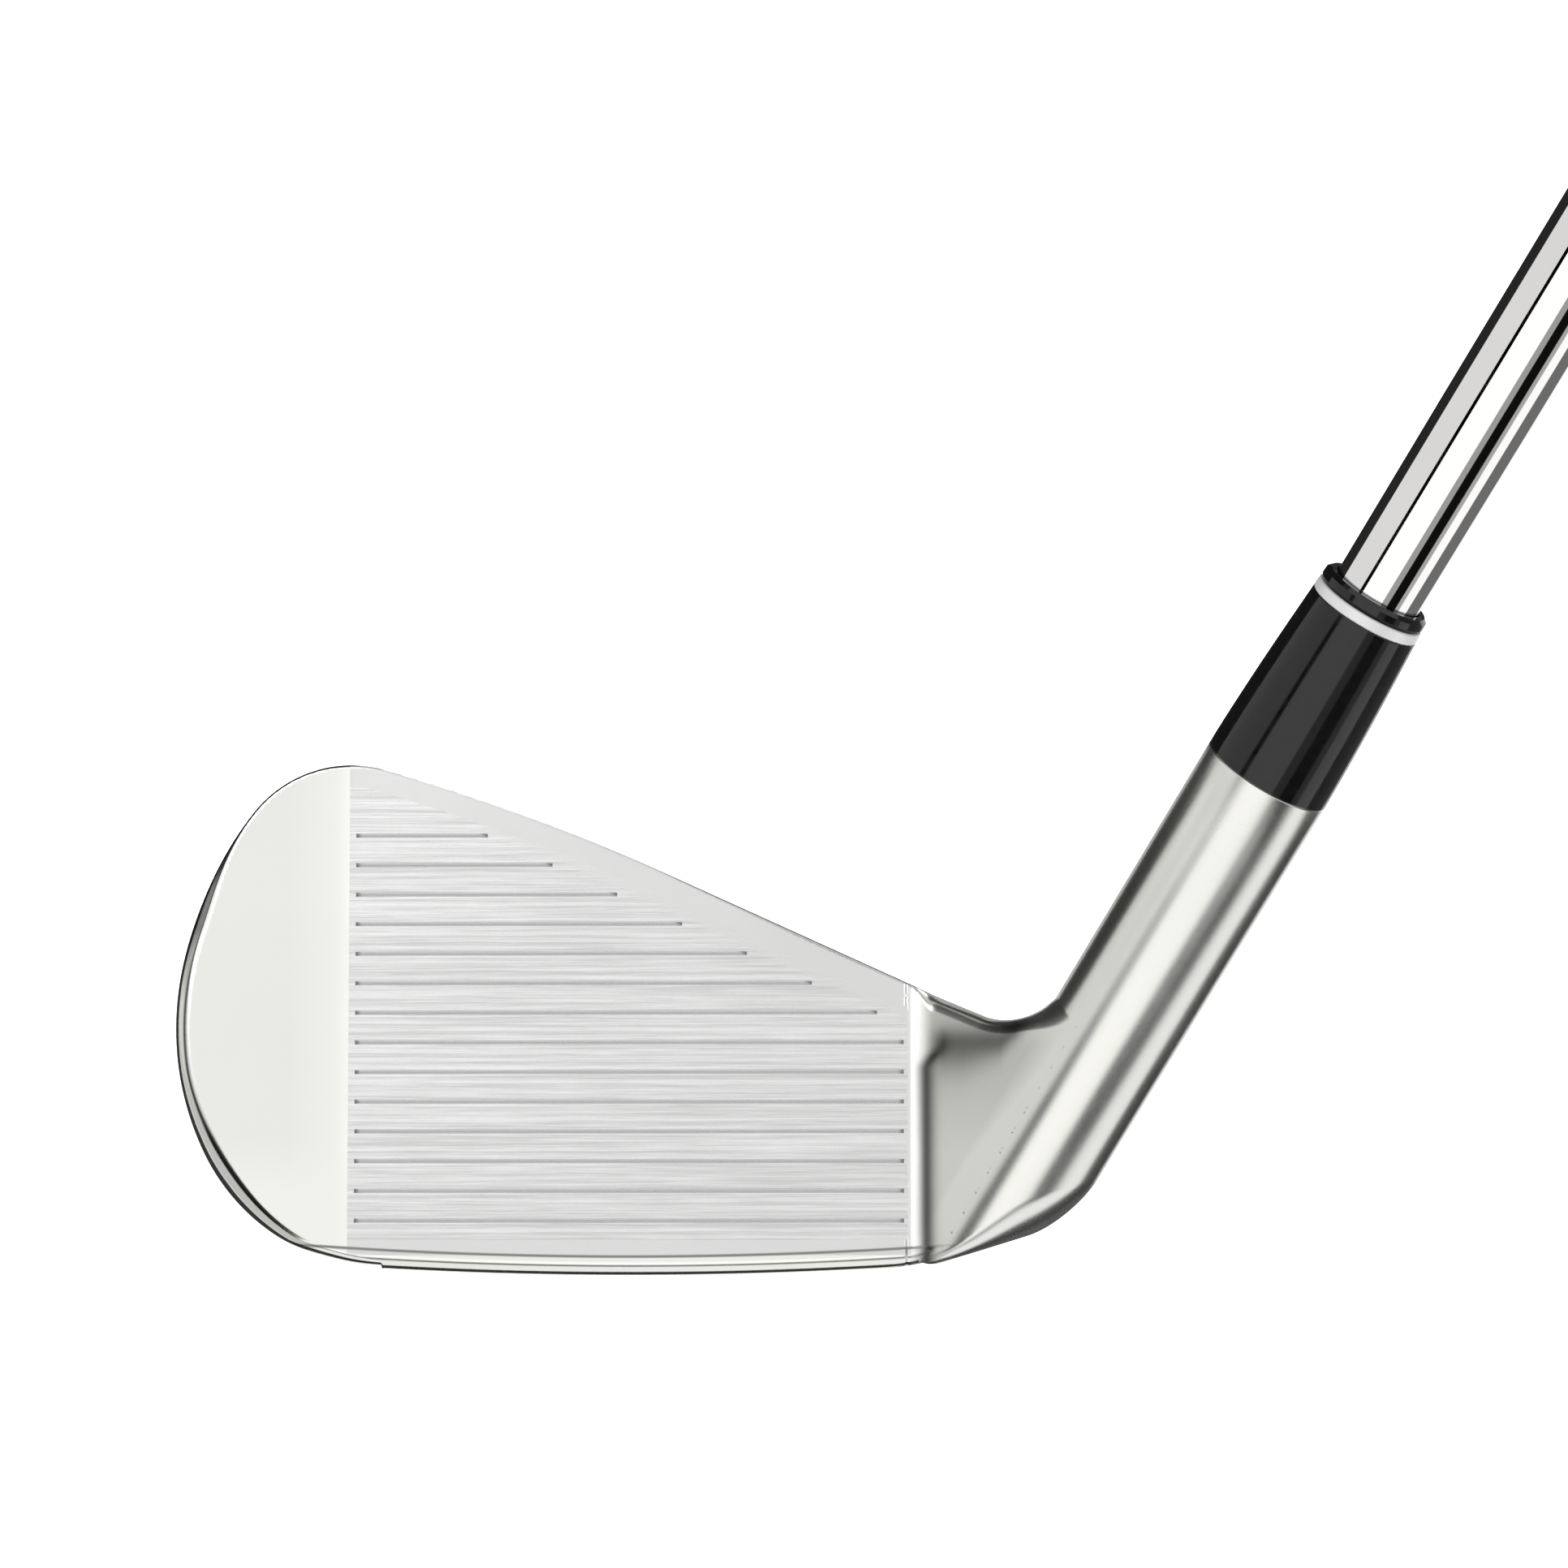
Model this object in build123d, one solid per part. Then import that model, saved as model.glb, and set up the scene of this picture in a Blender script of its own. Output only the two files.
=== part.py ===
"""An iron golf club, right-handed, a 5-iron of 24 degrees of loft, as the assembly it is built from.

Millimetres. +Z is up and the club stands at address. The origin is where the sole meets the ground, under the
middle of the score lines. The face looks along -Y and up by the loft, the toe points along -X, and the shaft
rises towards +X at the lie angle.

Two working frames are used beside the club's own:
  face frame   u along X and v up the face, with depth counted backwards from the face
  shaft frame  s along the shaft's axis, counted from the height of the ground
"""

from build123d import *

import os
from math import asin, cos, degrees, pi, radians, sin, tan

# ---------------------------------------------------------------- driving dimensions
LOFT = radians(24)
LIE = radians(61)
CLUB_LENGTH = 965.0

# sole and leading edge, in the vertical section through the origin
SOLE_RADIUS = 30.0
SOLE_FRONT_ANGLE = radians(20)
SOLE_REAR_ANGLE = radians(13.5)
EDGE_RADIUS = 2.0
CAMBER_RADIUS = 440.0

# blade: the top line is straight, and the toe is a chain of tangent arcs that starts on it, as (radius, turn)
TOP_LINE_SLOPE = radians(24.5)
TOP_LINE_V = 41.55
TOP_LINE_THICK = 6.2
TOE_START_U = 4.76
CROWN_ARC = (231.0, 8.1)
TOE_PEAK_ARC = (13.1, 68.5)
UPPER_TOE_ARC = (39.8, 25.1)
LOWER_TOE_ARC = (31.3, 37.1)
TOE_CORNER_ARC = (21.1, 65.7)
MUSCLE_TOP_V = 22.0
MUSCLE_SHOULDER = (6.3, 12.0)

# score lines
LINE_COUNT = 14
LINE_PITCH = 3.12
LINE_FIRST_V = 3.22
LINE_HALF_LENGTH = 28.9
LINE_WIDTH = 0.45
LINE_DEPTH = 0.25
LINE_TOP_GAP = 10.1

# face plate, window and cavity
PLATE_HALF_LENGTH = 29.6
PLATE_THICK = 2.6
PLATE_LOW_V = 1.2
PLATE_TOP_MARGIN = 2.4
LEDGE = 1.6
CAVITY_FLOOR = 3.8
CAVITY_LOW_V = 15.0
CAVITY_MARGIN = 5.0
CAVITY_TOE_U = -40.5
CAVITY_HEEL_U = 27.5
UNDERCUT_LOW_V = 7.5
UNDERCUT_DEEP = 9.0
UNDERCUT_TOE_U = -27.0
UNDERCUT_HEEL_U = 20.0

# badge
BADGE_INSET = 0.8
TAPE_THICK = 0.4
BADGE_THICK = 1.0
INLAY_MARGIN = 3.5
INLAY_RECESS = 0.5
INLAY_THICK = 0.6

# toe weight
WEIGHT_RADIUS = 3.6
WEIGHT_LENGTH = 9.0
WEIGHT_X = -33.0
WEIGHT_Z = 8.2
WEIGHT_INSET = 0.6

# hosel, ramp and heel
HOSEL_OFFSET = 2.6
HOSEL_RADIUS = 6.8
HOSEL_TOP = 64.5
HOSEL_BORE = 4.72
BORE_DEPTH = 33.0
AXIS_X = 34.9
CROTCH_RADIUS = 5.5
CROTCH_TOP_V = 26.6
HEEL_START_U = 28.0
HEEL_BEND_U = 31.7
HEEL_SLOPE = radians(17)
HEEL_RADIUS = 9.0
RAMP_RADIUS = 4.5

# ferrule
FERRULE_TOP_RADIUS = 5.8
FERRULE_SLEEVE = 19.6
FERRULE_RING = 1.2
FERRULE_COLLAR = 1.5

# shaft
SHAFT_TIP_RADIUS = 4.51
SHAFT_RADIUS = 4.70
BUTT_RADIUS = 7.62
TAPER_LENGTH = 75.0
FIRST_STEP = 267.0
STEP_COUNT = 13
STEP_PITCH = 38.1
STEP_RAMP = 1.2
WALL_TIP = 0.58
WALL_BUTT = 0.37
TIP_FLANGE = 1.5
TIP_PIN_LENGTH = 20.0

# grip and label
GRIP_MOUTH = 698.0
GRIP_MOUTH_RADIUS = 8.9
GRIP_BUTT_RADIUS = 13.0
GRIP_TAPE = 0.15
CAP_RADIUS = 13.5
CAP_SKIRT = 8.0
CAP_WALL = 5.0
CAP_EDGE = 2.0
VENT_RADIUS = 1.6
LABEL_START = 646.0
LABEL_LENGTH = 30.0
LABEL_THICK = 0.08

# ---------------------------------------------------------------- derived dimensions
SHAFT_TIP = HOSEL_TOP - BORE_DEPTH + TIP_FLANGE
SHAFT_BUTT = CLUB_LENGTH - CAP_WALL
STEP_RISE = (BUTT_RADIUS - SHAFT_RADIUS) / STEP_COUNT
STEPS = [SHAFT_TIP + FIRST_STEP + i * STEP_PITCH for i in range(STEP_COUNT)]

EDGE_START = Vector(-SOLE_RADIUS * sin(SOLE_FRONT_ANGLE), SOLE_RADIUS * (1 - cos(SOLE_FRONT_ANGLE)))
EDGE_CENTRE = EDGE_START + EDGE_RADIUS * Vector(sin(SOLE_FRONT_ANGLE), cos(SOLE_FRONT_ANGLE))
FACE_LOW = EDGE_CENTRE + EDGE_RADIUS * Vector(-cos(LOFT), sin(LOFT))
FACE_W = -FACE_LOW.X * cos(LOFT) + FACE_LOW.Y * sin(LOFT)
AXIS_Y = EDGE_CENTRE.X - EDGE_RADIUS - HOSEL_OFFSET + HOSEL_RADIUS

FACE_PLANE = Plane(
    origin=(0, -FACE_W * cos(LOFT), FACE_W * sin(LOFT)),
    x_dir=(1, 0, 0),
    z_dir=(0, -cos(LOFT), sin(LOFT)),
)
SIDE_PLANE = Plane(origin=(0, 0, 0), x_dir=(0, 1, 0), z_dir=(1, 0, 0))
SHAFT_PLANE = Plane(
    origin=(AXIS_X, AXIS_Y, 0),
    x_dir=(sin(LIE), 0, -cos(LIE)),
    z_dir=(cos(LIE), 0, sin(LIE)),
)

# the shaft's axis in the face frame, per millimetre of s, and where it starts
AXIS_STEP = Vector(cos(LIE), sin(LIE) * cos(LOFT), sin(LIE) * sin(LOFT))
AXIS_START = Vector(AXIS_X, AXIS_Y * sin(LOFT), -AXIS_Y * cos(LOFT) - FACE_W)
AXIS_ON_FACE = Vector(AXIS_STEP.X, AXIS_STEP.Y).normalized()
RAMP_NORMAL = Vector(-AXIS_STEP.Z, 0, AXIS_STEP.X).normalized()
MUSCLE_NORMAL = Vector(0.97, 0.243)
FERRULE_TOP = HOSEL_TOP + FERRULE_SLEEVE + FERRULE_RING + FERRULE_COLLAR


def side_point(depth, v):
    """A point of the side section, as (y, z), from its depth behind the face and its height up the face."""
    w = FACE_W - depth
    return (v * sin(LOFT) - w * cos(LOFT), v * cos(LOFT) + w * sin(LOFT))


def top_line(u):
    """Height of the top line's straight stretch at u."""
    return TOP_LINE_V - tan(TOP_LINE_SLOPE) * u


def hosel_edge(side, v):
    """The hosel's edge seen square to the face, at height v: side -1 is the toe side and +1 the heel side."""
    foot = Vector(AXIS_START.X, AXIS_START.Y) + side * HOSEL_RADIUS * Vector(AXIS_ON_FACE.Y, -AXIS_ON_FACE.X)
    return (foot.X + (v - foot.Y) * AXIS_ON_FACE.X / AXIS_ON_FACE.Y, v)


def on_face(sketch, depth, back_to):
    """A face-frame sketch turned into a solid between two depths behind the face."""
    return extrude(FACE_PLANE.offset(-depth) * sketch, -(back_to - depth))


def box_between(u0, u1, v0, v1):
    """A rectangle in the face frame."""
    return Pos((u0 + u1) / 2, (v0 + v1) / 2) * Rectangle(u1 - u0, v1 - v0)


# ---------------------------------------------------------------- head outlines in the face frame
def leading_edge_v(u):
    """The lowest height of the leading edge at u, raised towards the ends by the camber."""
    centre_v = EDGE_CENTRE.X * sin(LOFT) + EDGE_CENTRE.Y * cos(LOFT)
    return centre_v - EDGE_RADIUS + u * u / (2 * CAMBER_RADIUS) * cos(LOFT)


def toe_edges(low):
    """Crown and toe of the blade as tangent arcs, from the straight top line round to the sole."""
    normal = pi / 2 - TOP_LINE_SLOPE
    point = Vector(TOE_START_U, top_line(TOE_START_U))
    edges = []
    for radius, turn in (CROWN_ARC, TOE_PEAK_ARC, UPPER_TOE_ARC, LOWER_TOE_ARC, TOE_CORNER_ARC):
        centre = point - radius * Vector(cos(normal), sin(normal))
        middle = normal + radians(turn) / 2
        normal += radians(turn)
        end = centre + radius * Vector(cos(normal), sin(normal))
        edges.append(ThreePointArc(point, centre + radius * Vector(cos(middle), sin(middle)), end))
        point = end
    edges.append(Line(point, (point.X, low)))
    return edges


def meeting_point(a, slope_a, b, slope_b):
    """Where two lines cross, each given by a point and its slope."""
    u = (b[1] - a[1] + slope_a * a[0] - slope_b * b[0]) / (slope_a - slope_b)
    return (u, a[1] + slope_a * (u - a[0]))


def head_outline(cut_v=CROTCH_TOP_V):
    """The whole head seen square to its face, up to a level cut across the hosel."""
    low = -4.0
    hosel_slope = AXIS_ON_FACE.Y / AXIS_ON_FACE.X
    toe = toe_edges(low)
    start = (TOE_START_U, top_line(TOE_START_U))
    corner = meeting_point(start, -tan(TOP_LINE_SLOPE), hosel_edge(-1, 0), hosel_slope)
    crotch = FilletPolyline(start, corner, hosel_edge(-1, cut_v), radius=CROTCH_RADIUS)
    bend = (HEEL_BEND_U, leading_edge_v(HEEL_BEND_U))
    heel_corner = meeting_point(bend, tan(HEEL_SLOPE), hosel_edge(1, 0), hosel_slope)
    heel = FilletPolyline(bend, heel_corner, hosel_edge(1, cut_v), radius=HEEL_RADIUS)
    hosel_cut = Line(hosel_edge(1, cut_v), hosel_edge(-1, cut_v))
    heel_start = (HEEL_START_U, leading_edge_v(HEEL_START_U))
    sole = Polyline(toe[-1] @ 1, (HEEL_START_U, low), heel_start, bend)
    return make_face([*toe, crotch, hosel_cut, heel, sole])


def side_section():
    """The blade's vertical section: face, leading edge, cambered sole, muscle and the back of the top line."""
    rear = Vector(SOLE_RADIUS * sin(SOLE_REAR_ANGLE), SOLE_RADIUS * (1 - cos(SOLE_REAR_ANGLE)))
    rear_centre = rear + EDGE_RADIUS * Vector(-sin(SOLE_REAR_ANGLE), cos(SOLE_REAR_ANGLE))
    muscle_low = rear_centre + EDGE_RADIUS * MUSCLE_NORMAL
    rear_mid = rear_centre + EDGE_RADIUS * Vector(sin(radians(45)), -cos(radians(45)))
    edge_mid = EDGE_CENTRE + EDGE_RADIUS * Vector(-cos(radians(23)), -sin(radians(23)))
    face_top = side_point(0, 56)
    back_top = side_point(TOP_LINE_THICK, 56)
    back_low = side_point(TOP_LINE_THICK, MUSCLE_TOP_V)
    face = Line(FACE_LOW, face_top)
    top = Line(face_top, back_top)
    back = Line(back_top, back_low)
    shoulder = Line(back_low, MUSCLE_SHOULDER)
    muscle = Line(MUSCLE_SHOULDER, muscle_low)
    rear_edge = ThreePointArc(muscle_low, rear_mid, rear)
    sole = ThreePointArc(rear, (0, 0), EDGE_START)
    front_edge = ThreePointArc(EDGE_START, edge_mid, FACE_LOW)
    return make_face([face, top, back, shoulder, muscle, rear_edge, sole, front_edge])


def camber_sweep(section):
    """A side section carried round the sole's heel-to-toe camber, both ways from the middle."""
    sweep_axis = Axis((0, 0, CAMBER_RADIUS), (0, 1, 0))
    half_turn = degrees(asin(60.0 / CAMBER_RADIUS))
    sketch = SIDE_PLANE * section
    return revolve(sketch, sweep_axis, half_turn) + revolve(sketch, sweep_axis, -half_turn)


def heel_back():
    """Everything in front of the curve, seen from above, that carries the muscle round into the hosel."""
    back = AXIS_Y + HOSEL_RADIUS - 0.6
    curve = Spline((22, 11), (34, 7.4), (43, 1.6), (60, back), tangents=((1, 0), (1, -0.05)))
    rest = Polyline((60, back), (60, -40), (-60, -40), (-60, 40), (22, 40), (22, 11))
    in_front = Pos(0, 0, -5) * extrude(make_face([curve, rest]), 90)
    toe_side = SHAFT_PLANE * Pos(3 - 60, 0, 0) * Box(120, 120, 260)
    return in_front & toe_side


def ramp():
    """The flat slope from the face out to the front of the hosel, with the hollow curve at its foot."""
    touch = AXIS_START + HOSEL_RADIUS * RAMP_NORMAL
    run = Vector(RAMP_NORMAL.Z, 0, -RAMP_NORMAL.X)
    turn = asin(run.Z)
    foot_u = touch.X - touch.Z * run.X / run.Z
    low = touch - 30 * run
    across = Plane(
        origin=FACE_PLANE.from_local_coords((0, AXIS_START.Y, 0)),
        x_dir=(1, 0, 0),
        z_dir=-FACE_PLANE.y_dir,
    )
    slope = make_face(Polyline((touch.X, touch.Z), (low.X, low.Z), (AXIS_START.X, AXIS_START.Z), close=True))
    along_hosel = extrude(across * slope, 45, dir=SHAFT_PLANE.z_dir)
    along_hosel += extrude(across * slope, 10, dir=-SHAFT_PLANE.z_dir)
    reach = RAMP_RADIUS * tan(turn / 2)
    start = (foot_u - reach, 0)
    middle = (foot_u - reach + RAMP_RADIUS * sin(turn / 2), RAMP_RADIUS * (1 - cos(turn / 2)))
    end = (foot_u + reach * run.X, reach * run.Z)
    under = Polyline(end, (foot_u + 1, -1), (foot_u, -1), start)
    hollow = extrude(across * make_face([ThreePointArc(start, middle, end), under]), 60, both=True)
    return (along_hosel + hollow) & on_face(box_between(28.2, 60, -20, CROTCH_TOP_V), -30, 4)


def rod(radius, s0, s1):
    """A plain rod on the shaft's axis."""
    return SHAFT_PLANE * Pos(0, 0, s0) * Cylinder(radius, s1 - s0, align=(Align.CENTER, Align.CENTER, Align.MIN))


# ---------------------------------------------------------------- the head and what is fitted in it
def drawn_in(margin):
    """The head's outline drawn in by a margin, its offset curves redrawn as splines so that they export."""
    edges = []
    for edge in offset(head_outline(), amount=-margin).edges():
        if edge.geom_type == GeomType.OFFSET:
            points = [edge @ (i / 6) for i in range(7)]
            edges.append(Spline(*points, tangents=(edge % 0, edge % 1)))
        else:
            edges.append(edge)
    return make_face(edges)


def inside_head(margin, u0, u1, v0, corner=0.3):
    """The inside of the head's outline, kept to a window with rounded corners that is open at the top."""
    window = Pos((u0 + u1) / 2, (v0 + 60) / 2) * RectangleRounded(u1 - u0, 60 - v0, corner)
    return drawn_in(margin) & window


def face_plate_outline():
    """The welded face plate seen square to the face: straight ends, top edge following the top line."""
    return inside_head(PLATE_TOP_MARGIN, -PLATE_HALF_LENGTH, PLATE_HALF_LENGTH, PLATE_LOW_V)


def cavity_outline(margin=0.0):
    """The open back of the head seen square to the face, drawn in by a margin."""
    low_v = CAVITY_LOW_V + margin
    return inside_head(CAVITY_MARGIN + margin, CAVITY_TOE_U + margin, CAVITY_HEEL_U - margin, low_v, 2.5)


def window_outline():
    """The opening behind the face plate, leaving a ledge for the plate and another for the badge."""
    ledges = LEDGE + 1.0
    toe_u = -PLATE_HALF_LENGTH + LEDGE
    return inside_head(CAVITY_MARGIN + ledges, toe_u, CAVITY_HEEL_U - ledges, CAVITY_LOW_V + ledges)


def weight_plane():
    """The middle of the muscle's toe end, looking out of the back of the head."""
    lean = (MUSCLE_SHOULDER[1] - WEIGHT_Z) * MUSCLE_NORMAL.Y / MUSCLE_NORMAL.X
    return Plane(
        origin=(WEIGHT_X, MUSCLE_SHOULDER[0] + lean, WEIGHT_Z),
        x_dir=(1, 0, 0),
        z_dir=(0, MUSCLE_NORMAL.X, MUSCLE_NORMAL.Y),
    )


def toe_weight():
    """The round slug let into the back of the toe, a little below the surface."""
    slug = Cylinder(WEIGHT_RADIUS, WEIGHT_LENGTH, align=(Align.CENTER, Align.CENTER, Align.MAX))
    slug = chamfer(slug.edges().filter_by(GeomType.CIRCLE).sort_by(Axis.Z)[-1], 0.4)
    return weight_plane() * Pos(0, 0, -WEIGHT_INSET) * slug


def head_body():
    """Blade, ramp and hosel in one casting, cut for the plate, the cavity, the weight and the shaft."""
    blade = camber_sweep(side_section()) & on_face(head_outline(), 0, 30) & heel_back()
    lower_hosel = (rod(HOSEL_RADIUS, 1, 50) + ramp()) & on_face(head_outline(40.0), -40, 30)
    above_sole = Pos(0, 0, CAMBER_RADIUS) * Rot(90, 0, 0) * Cylinder(CAMBER_RADIUS, 80)
    head = blade + (lower_hosel & above_sole) + rod(HOSEL_RADIUS, 42, HOSEL_TOP)
    head -= on_face(face_plate_outline(), -1, PLATE_THICK)
    head -= on_face(window_outline(), PLATE_THICK, CAVITY_FLOOR)
    head -= on_face(cavity_outline(), CAVITY_FLOOR, 40)
    undercut = box_between(UNDERCUT_TOE_U, UNDERCUT_HEEL_U, UNDERCUT_LOW_V, CAVITY_LOW_V + 1)
    head -= on_face(undercut, CAVITY_FLOOR, UNDERCUT_DEEP)
    seat = Pos(0, 0, -WEIGHT_INSET - WEIGHT_LENGTH) * Cylinder(
        WEIGHT_RADIUS, WEIGHT_LENGTH + 10, align=(Align.CENTER, Align.CENTER, Align.MIN)
    )
    head -= weight_plane() * seat
    head -= rod(HOSEL_BORE, HOSEL_TOP - BORE_DEPTH, HOSEL_TOP + 1)
    return head


def score_line_end(v):
    """Where the score line at height v stops: at the full length, or short of the top line."""
    return min(LINE_HALF_LENGTH, (TOP_LINE_V - v) / tan(TOP_LINE_SLOPE) - LINE_TOP_GAP)


def face_plate():
    """The thin striking plate with its score lines, each a V cut with ends rising out of the metal."""
    plate = on_face(face_plate_outline(), 0, PLATE_THICK)
    half = LINE_WIDTH / 2
    cutter = [(-half, 0.1), (half, 0.1), (half, 0), (0, -LINE_DEPTH), (-half, 0)]
    groove = make_face(Polyline(*cutter, close=True))
    for i in range(LINE_COUNT):
        v = LINE_FIRST_V + i * LINE_PITCH
        end = score_line_end(v)
        section = Plane(
            origin=FACE_PLANE.from_local_coords((-LINE_HALF_LENGTH, v, 0)),
            x_dir=FACE_PLANE.y_dir,
            z_dir=(1, 0, 0),
        )
        plate -= extrude(section * groove, end + LINE_HALF_LENGTH)
    return plate


def badge_layer(margin, depth, thick):
    """A sheet of the badge's shape lying in the cavity."""
    return on_face(cavity_outline(margin), depth, depth + thick)


# ---------------------------------------------------------------- shaft, ferrule and grip
def outer_radius(s):
    """Radius of the shaft's outside at s, the tip's taper and the steps included."""
    if s < SHAFT_TIP + TAPER_LENGTH:
        return SHAFT_TIP_RADIUS + (SHAFT_RADIUS - SHAFT_TIP_RADIUS) * (s - SHAFT_TIP) / TAPER_LENGTH
    radius = SHAFT_RADIUS
    for step in STEPS:
        radius += STEP_RISE * min(1, max(0, (s - step) / STEP_RAMP))
    return radius


def shaft_line(s0, s1, gap):
    """Points along the shaft's outside between two heights, standing off it by a gap, as (radius, s)."""
    corners = [SHAFT_TIP + TAPER_LENGTH]
    for step in STEPS:
        corners += [step, step + STEP_RAMP]
    inside = [s for s in corners if s0 < s < s1]
    return [(outer_radius(s) + gap, s) for s in [s0, *inside, s1]]


def turned(points):
    """A solid of revolution about the shaft's axis from an outline of (radius, s) points."""
    section = Plane(origin=SHAFT_PLANE.origin, x_dir=SHAFT_PLANE.x_dir, z_dir=-SHAFT_PLANE.y_dir)
    face = section * make_face(Polyline(*points, close=True))
    return revolve(face, Axis(SHAFT_PLANE.origin, SHAFT_PLANE.z_dir))


def shaft():
    """The stepped steel tube from inside the hosel to the butt."""
    outside = shaft_line(SHAFT_TIP, SHAFT_BUTT, 0)
    length = SHAFT_BUTT - SHAFT_TIP
    inside = []
    for radius, s in outside:
        wall = WALL_TIP + (WALL_BUTT - WALL_TIP) * (s - SHAFT_TIP) / length
        inside.append((radius - wall, s))
    return turned(outside + inside[::-1])


def tip_weight():
    """The pin that sits inside the shaft's tip, headed by a flange that the tip rests on."""
    bottom = HOSEL_TOP - BORE_DEPTH
    inside = SHAFT_TIP_RADIUS - WALL_TIP - 0.05
    pin = rod(inside, bottom + TIP_FLANGE, bottom + TIP_FLANGE + TIP_PIN_LENGTH)
    pin = chamfer(pin.edges().filter_by(GeomType.CIRCLE).sort_by(Axis.Z)[-1], 0.6)
    return rod(SHAFT_TIP_RADIUS, bottom, bottom + TIP_FLANGE) + pin


def hosel_bond():
    """The film of epoxy between the shaft's tip and the hosel's bore."""
    line = shaft_line(SHAFT_TIP, HOSEL_TOP, 0)
    return turned([*line, (HOSEL_BORE, HOSEL_TOP), (HOSEL_BORE, SHAFT_TIP)])


def ferrule_radius(s):
    """Outside of the ferrule at s: flush with the hosel, drawn in along a gentle curve."""
    part_way = (s - HOSEL_TOP) / (FERRULE_TOP - HOSEL_TOP)
    return HOSEL_RADIUS - (HOSEL_RADIUS - FERRULE_TOP_RADIUS) * part_way ** 1.5


def ferrule_piece(s0, s1, chamfer_top=0.0):
    """One length of the ferrule, bored to the shaft."""
    steps = 6
    heights = [s0 + (s1 - s0) * i / steps for i in range(steps + 1)]
    outside = [(ferrule_radius(s), s) for s in heights]
    if chamfer_top:
        top_radius, top = outside.pop()
        outside += [(ferrule_radius(top - chamfer_top), top - chamfer_top), (top_radius - chamfer_top, top)]
    return turned([*shaft_line(s0, s1, 0), *outside[::-1]])


def grip_radius(s):
    """Outside of the grip at s, growing steadily from its mouth to its cap."""
    part_way = (s - GRIP_MOUTH) / (CLUB_LENGTH - GRIP_MOUTH)
    return GRIP_MOUTH_RADIUS + (GRIP_BUTT_RADIUS - GRIP_MOUTH_RADIUS) * part_way


def grip_sleeve():
    """The moulded rubber sleeve, its lip rounded over at the mouth."""
    end = CLUB_LENGTH - CAP_SKIRT
    lip = 1.2
    line = shaft_line(GRIP_MOUTH, end, GRIP_TAPE)
    outside = [(grip_radius(GRIP_MOUTH) - lip, GRIP_MOUTH), (grip_radius(GRIP_MOUTH + lip), GRIP_MOUTH + lip)]
    outside.append((grip_radius(end), end))
    return turned([*line, *outside[::-1]])


def grip_tape():
    """The double-sided tape wound on the shaft under the grip."""
    start = GRIP_MOUTH + 4
    end = SHAFT_BUTT - 2
    outer = shaft_line(start, end, GRIP_TAPE)
    return turned([*shaft_line(start, end, 0), *outer[::-1]])


def grip_cap():
    """The domed end of the grip, closed over the shaft's butt but for a round vent hole."""
    skirt = CLUB_LENGTH - CAP_SKIRT
    inner = BUTT_RADIUS + GRIP_TAPE
    return turned(
        [
            (VENT_RADIUS, CLUB_LENGTH),
            (CAP_RADIUS - CAP_EDGE, CLUB_LENGTH),
            (CAP_RADIUS - 0.6, CLUB_LENGTH - 0.6),
            (CAP_RADIUS, CLUB_LENGTH - CAP_EDGE),
            (CAP_RADIUS, skirt + 1),
            (grip_radius(skirt), skirt),
            (inner, skirt),
            (inner, SHAFT_BUTT),
            (VENT_RADIUS, SHAFT_BUTT),
        ]
    )


def label_band():
    """The plain foil band wrapped round the shaft below the grip."""
    end = LABEL_START + LABEL_LENGTH
    outer = shaft_line(LABEL_START, end, LABEL_THICK)
    return turned([*shaft_line(LABEL_START, end, 0), *outer[::-1]])


# ---------------------------------------------------------------- build and write
def main():
    ring_start = HOSEL_TOP + FERRULE_SLEEVE
    collar_start = ring_start + FERRULE_RING
    badge_depth = CAVITY_FLOOR + TAPE_THICK
    inlay_depth = badge_depth + BADGE_THICK - INLAY_RECESS
    recess = badge_layer(BADGE_INSET + INLAY_MARGIN, inlay_depth, 1)
    parts = {
        "head_body": head_body(),
        "face_plate": face_plate(),
        "toe_weight": toe_weight(),
        "badge_damper": on_face(window_outline(), PLATE_THICK, CAVITY_FLOOR),
        "badge_tape": badge_layer(BADGE_INSET, CAVITY_FLOOR, TAPE_THICK),
        "badge_plate": badge_layer(BADGE_INSET, badge_depth, BADGE_THICK) - recess,
        "badge_inlay": badge_layer(BADGE_INSET + INLAY_MARGIN, inlay_depth, INLAY_THICK),
        "tip_weight": tip_weight(),
        "hosel_bond": hosel_bond(),
        "ferrule_sleeve": ferrule_piece(HOSEL_TOP, ring_start),
        "ferrule_ring": ferrule_piece(ring_start, collar_start),
        "ferrule_collar": ferrule_piece(collar_start, FERRULE_TOP, 0.4),
        "shaft": shaft(),
        "shaft_label": label_band(),
        "grip_tape": grip_tape(),
        "grip_sleeve": grip_sleeve(),
        "grip_cap": grip_cap(),
    }
    os.makedirs("parts", exist_ok=True)
    for name, shape in parts.items():
        export_step(shape, f"parts/{name}.step")


main()
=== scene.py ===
"""The iron golf club's looks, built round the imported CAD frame. Lengths inside the shape functions are in
millimetres and are turned into metres when a mesh is made."""

from itertools import product
from math import asin, cos, pi, radians, sin, tan

import bpy
import numpy as np
from mathutils import Matrix, Vector


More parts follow.
